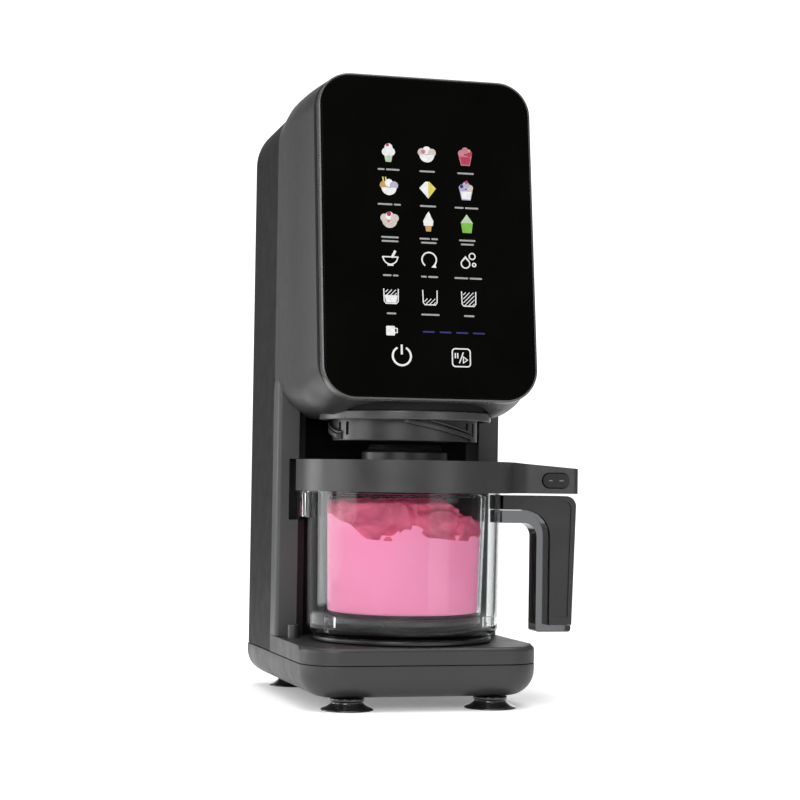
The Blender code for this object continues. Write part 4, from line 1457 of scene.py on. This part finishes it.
    def lid_outline(self) -> list[Point2]:
        """Plan of the lid: a circle that flows into the grip.

        Returns:
            The outline.
        """
        half, fillet = 0.0160, 0.020
        span = self.lid_radius + fillet
        cx = math.sqrt(span ** 2 - (half + fillet) ** 2)
        meet = math.degrees(math.atan2(half + fillet, cx))
        top = arc((cx, half + fillet), fillet, 180 + meet, 270, 12)
        end = arc((self.reach - 0.0045, 0.0142 - 0.0045), 0.0045, 90, 0, 7)
        upper = top + [(0.100, 0.0153)] + end
        rim = arc((0.0, 0.0), self.lid_radius, meet, 360 - meet, 120)[1:-1]
        lower = [(x, -y) for x, y in upper]
        return [(x, y + AXIS_Y) for x, y in rim + lower + list(reversed(upper))]

    def lid(self) -> None:
        """Lid with its recess, lugs, seal and grip."""
        hole = arc((0.0, AXIS_Y), self.recess, 0, 360 - 2.5, 143)
        under = arc((0.0, AXIS_Y), 0.0652, 0, 360 - 2.5, 143)
        bm = bmesh.new()
        outline = self.lid_outline()
        loops = []
        for loop, z in ((outline, self.lid_top), (hole, self.lid_top), (outline, self.lid_z),
                        (under, self.lid_z)):
            verts = [bm.verts.new((x, y, z)) for x, y in loop]
            loops.append([bm.edges.new((a, b)) for a, b in zip(verts, verts[1:] + verts[:1])])
        bmesh.ops.triangle_fill(bm, edges=loops[0] + loops[1], use_beauty=True, normal=(0, 0, 1))
        bmesh.ops.triangle_fill(bm, edges=loops[2] + loops[3], use_beauty=True, normal=(0, 0, -1))
        bmesh.ops.bridge_loops(bm, edges=loops[0] + loops[2])
        for loop, depth in ((loops[1], 0.1525), (loops[3], 0.1500)):
            made = bmesh.ops.extrude_edge_only(bm, edges=loop)["geom"]
            for v in (g for g in made if isinstance(g, bmesh.types.BMVert)):
                v.co.z = depth
            loop[:] = [g for g in made if isinstance(g, bmesh.types.BMEdge)
                       and near(g.verts[0].co.z, depth) and near(g.verts[1].co.z, depth)]
        for loop in (loops[1], loops[3]):
            made = bmesh.ops.extrude_edge_only(bm, edges=loop)["geom"]
            for v in (g for g in made if isinstance(g, bmesh.types.BMVert)):
                flat = Vector((v.co.x, v.co.y - AXIS_Y)).normalized() * 0.0262
                v.co.x, v.co.y = flat.x, AXIS_Y + flat.y
            loop[:] = [g for g in made if isinstance(g, bmesh.types.BMEdge)
                       and all(math.hypot(v.co.x, v.co.y - AXIS_Y) < 0.0270 for v in g.verts)]
        bmesh.ops.bridge_loops(bm, edges=loops[1] + loops[3])
        bmesh.ops.recalc_face_normals(bm, faces=bm.faces[:])
        rounded_sharp(bm, 0.0017, 5, 55)
        for v in bm.verts:
            if v.co.z > 0.150:
                v.co.z -= 0.075 * max(0.0, v.co.x - 0.070)
        pocket = slab(arc((0.1062, 0.1478), 0.0054, -90, 90, 14) + arc((0.0968, 0.1478), 0.0054, 90, 270, 14),
                      AXIS_Y - 0.030, AXIS_Y - 0.0035, Plane.FRONT)
        publish("lid_cover", bm, TRIM, Body.JUG, ["lid", "lid_plate"], cut=pocket)
        lugs = []
        for turn in (40, 160, 280):
            lug = block((0.0535, AXIS_Y - 0.005, 0.1535), (0.0575, AXIS_Y + 0.005, 0.1560))
            rounded_sharp(lug, 0.0006, 2)
            lugs.append(turned_about(lug, turn))
        publish("lid_lugs", merged(*lugs), TRIM, Body.JUG)
        seal = softened([(0.0605, 0.1473), (0.0605, 0.1497), (0.0648, 0.1497), (0.0648, 0.1473)],
                        0.0008, 4, True)
        publish("lid_seal_ring", spun(seal, 96, closed=True), GLOSS, Body.JUG, ["lid_seal"])

    def button(self) -> None:
        """Oval release button with two small raised marks."""
        outline = arc((0.1062, 0.1478), 0.0047, -90, 90, 14) + arc((0.0968, 0.1478), 0.0047, 90, 270, 14)
        bm = slab(outline, AXIS_Y - 0.0166, AXIS_Y - 0.0075, Plane.FRONT)
        rounded_sharp(bm, 0.0011, 4)
        publish("lid_button", bm, PRESS, Body.BUTTON, ["release_button"])
        marks = []
        for x, half in ((0.0975, 0.0013), (0.1052, 0.0016)):
            dash = block((x - half, AXIS_Y - 0.0168, 0.1474), (x + half, AXIS_Y - 0.0160, 0.1482))
            rounded_sharp(dash, 0.0002, 2)
            marks.append(dash)
        publish("lid_button_marks", merged(*marks), MARK, Body.BUTTON)

    def hub(self) -> None:
        """Hub that stands in the lid's recess."""
        profile = softened([(0.0150, 0.1500), (0.0256, 0.1500), (0.0256, 0.1528), (0.0285, 0.1529),
                            (0.0285, 0.1650), (0.0272, 0.1657), (0.0248, 0.1664), (0.0238, 0.1690),
                            (0.0232, 0.1705), (0.0150, 0.1705)], 0.0009, 4, closed=True)
        publish("hub_cap", spun(profile, 120, closed=True), TRIM, Body.HUB, ["lid_hub"])


# ----------------------------------------------------------------------------- deck and drive
@dataclass
class DeckParts:
    """Turntable and interlock pin."""

    pin: Point2 = (-0.068, -0.015)

    def build(self) -> None:
        """Builds the turntable and the pin."""
        profile = [(0.0, 0.0442)]
        for k in range(8):
            r = 0.0180 + 0.0050 * k
            profile += [(r, 0.0442), (r + 0.0006, 0.0436), (r + 0.0012, 0.0442)]
        profile += softened([(0.0560, 0.0442), (0.0590, 0.0440), (0.0590, 0.0413), (0.0500, 0.0410),
                             (0.0500, 0.0369), (0.0, 0.0369)], 0.0008, 3)
        publish("turntable_disc", spun(profile, 120), BLACK, Body.TABLE, ["turntable"])
        head = softened([(0.0, 0.0496), (0.0038, 0.0496), (0.0040, 0.0315), (0.0, 0.0315)], 0.0009, 5)
        publish("deck_pin", spun(head, 48, centre=self.pin), TRIM, Body.INTERLOCK,
                ["interlock_pin"])


@dataclass
class Internals:
    """CAD pieces that stay, dressed in their own finishes."""

    finishes: dict[str, object] = field(default_factory=lambda: {
        "chassis_plate": LINER, "guide_rod_left": STEEL, "guide_rod_right": STEEL, "top_bridge": ALLOY,
        "feed_motor": STEEL, "feed_screw": STEEL, "feed_nut": BRONZE, "carriage_plate": ALLOY,
        "main_motor": STEEL, "motor_shaft": STEEL, "motor_pinion": ACETAL, "spindle_gear": ACETAL,
        "spindle_shaft": STEEL, "drive_sleeve": STEEL, "blade_shaft": STEEL, "blade_paddle": STEEL,
        "interlock_spring": STEEL, "interlock_switch": BLACK, "control_board": BOARD, "display_board": BOARD,
        "lift_platform": BLACK})

    def build(self) -> None:
        """Gives every kept node its finish."""
        for name, finish in self.finishes.items():
            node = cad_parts[name]
            node.data.materials.clear()
            node.data.materials.append(finish.material())
            LOG.info("%s: kept, %s", name, finish.name)


# -------------------------------------------------------------------------------------- stage
@dataclass
class Studio:
    """Pale floor, soft lights and the camera."""

    eye: Point3 = (-0.37413, -1.38547, 0.1507)
    yaw: float = -0.2687
    pitch: float = 0.0353
    roll: float = 0.015
    lens: float = 94.34
    room: float = 0.22

    def build(self) -> None:
        """Builds the stage."""
        self.floor()
        self.sky()
        self.lights()
        self.camera()

    def floor(self) -> None:
        """A plain round floor."""
        bm = bmesh.new()
        bmesh.ops.create_circle(bm, cap_ends=True, segments=96, radius=0.80)
        mesh = bpy.data.meshes.new("floor")
        bm.to_mesh(mesh)
        bm.free()
        floor = bpy.data.objects.new("floor", mesh)
        bpy.context.scene.collection.objects.link(floor)
        mesh.materials.append(Moulded("pale_floor", (0.90, 0.90, 0.90), 0.7, grain=80.0, relief=0.0,
                                      mottle=0.01, glow=0.22).material())

    def ahead(self) -> Vector:
        """Direction in which the camera looks."""
        return Vector((-math.sin(self.yaw) * math.cos(self.pitch), math.cos(self.yaw) * math.cos(self.pitch),
                       math.sin(self.pitch)))

    def sky(self) -> None:
        """White backdrop behind the machine and a dimmer room around it."""
        world = bpy.data.worlds.new("studio")
        world.use_nodes = True
        nodes, links = world.node_tree.nodes, world.node_tree.links
        where, toward, level = (nodes.new("ShaderNodeTexCoord"), nodes.new("ShaderNodeVectorMath"),
                                nodes.new("ShaderNodeMapRange"))
        toward.operation = "DOT_PRODUCT"
        toward.inputs[1].default_value = self.ahead()
        for socket, value in zip(("From Min", "From Max", "To Min", "To Max"), (0.90, 0.965, self.room, 1.3)):
            level.inputs[socket].default_value = value
        links.new(where.outputs["Generated"], toward.inputs[0])
        links.new(toward.outputs["Value"], level.inputs["Value"])
        links.new(level.outputs["Result"], nodes["Background"].inputs["Strength"])
        nodes["Background"].inputs["Color"].default_value = (1.0, 1.0, 1.0, 1.0)
        bpy.context.scene.world = world

    def lights(self) -> None:
        """Soft boxes above, at the front and at the sides."""
        boxes = (("above", (0.1, -0.1, 2.2), 2.2, 62.0), ("key", (-0.9, -1.7, 0.9), 0.9, 22.0),
                 ("side", (-1.5, -0.1, 0.45), 0.8, 6.0), ("edge", (-1.3, 0.8, 0.30), 0.7, 6.0),
                 ("low_front", (0.9, -1.8, 0.15), 0.9, 4.0))
        for name, place, size, power in boxes:
            light = bpy.data.lights.new(name, "AREA")
            light.size, light.energy = size, power
            lamp = bpy.data.objects.new(name, light)
            lamp.location = place
            aim = Vector((0.0, 0.0, 0.18)) - Vector(place)
            lamp.rotation_euler = aim.to_track_quat("-Z", "Y").to_euler()
            bpy.context.scene.collection.objects.link(lamp)

    def camera(self) -> None:
        """Camera at its fixed place, looking slightly up."""
        ahead = self.ahead()
        side = Vector((math.cos(self.yaw), math.sin(self.yaw), 0.0))
        up = side.cross(ahead)
        cr, sr = math.cos(self.roll), math.sin(self.roll)
        right, top = cr * side + sr * up, -sr * side + cr * up
        data = bpy.data.cameras.new("camera")
        data.lens, data.sensor_width = self.lens, 36.0
        data.clip_start, data.clip_end = 0.05, 50.0
        cam = bpy.data.objects.new("camera", data)
        turn = Matrix((right, top, -ahead)).transposed()
        cam.matrix_world = Matrix.Translation(Vector(self.eye) + HOME) @ turn.to_4x4()
        bpy.context.scene.collection.objects.link(cam)
        bpy.context.scene.camera = cam


def main() -> None:
    logging.basicConfig(level=logging.INFO, format="%(name)s %(message)s")
    for assembly in (Case(), ControlPanel(), Collar(), Jug(), DeckParts(), Internals(), Studio()):
        assembly.build()
    bpy.context.scene.view_settings.view_transform = "Standard"


if __name__ == "__main__":
    main()
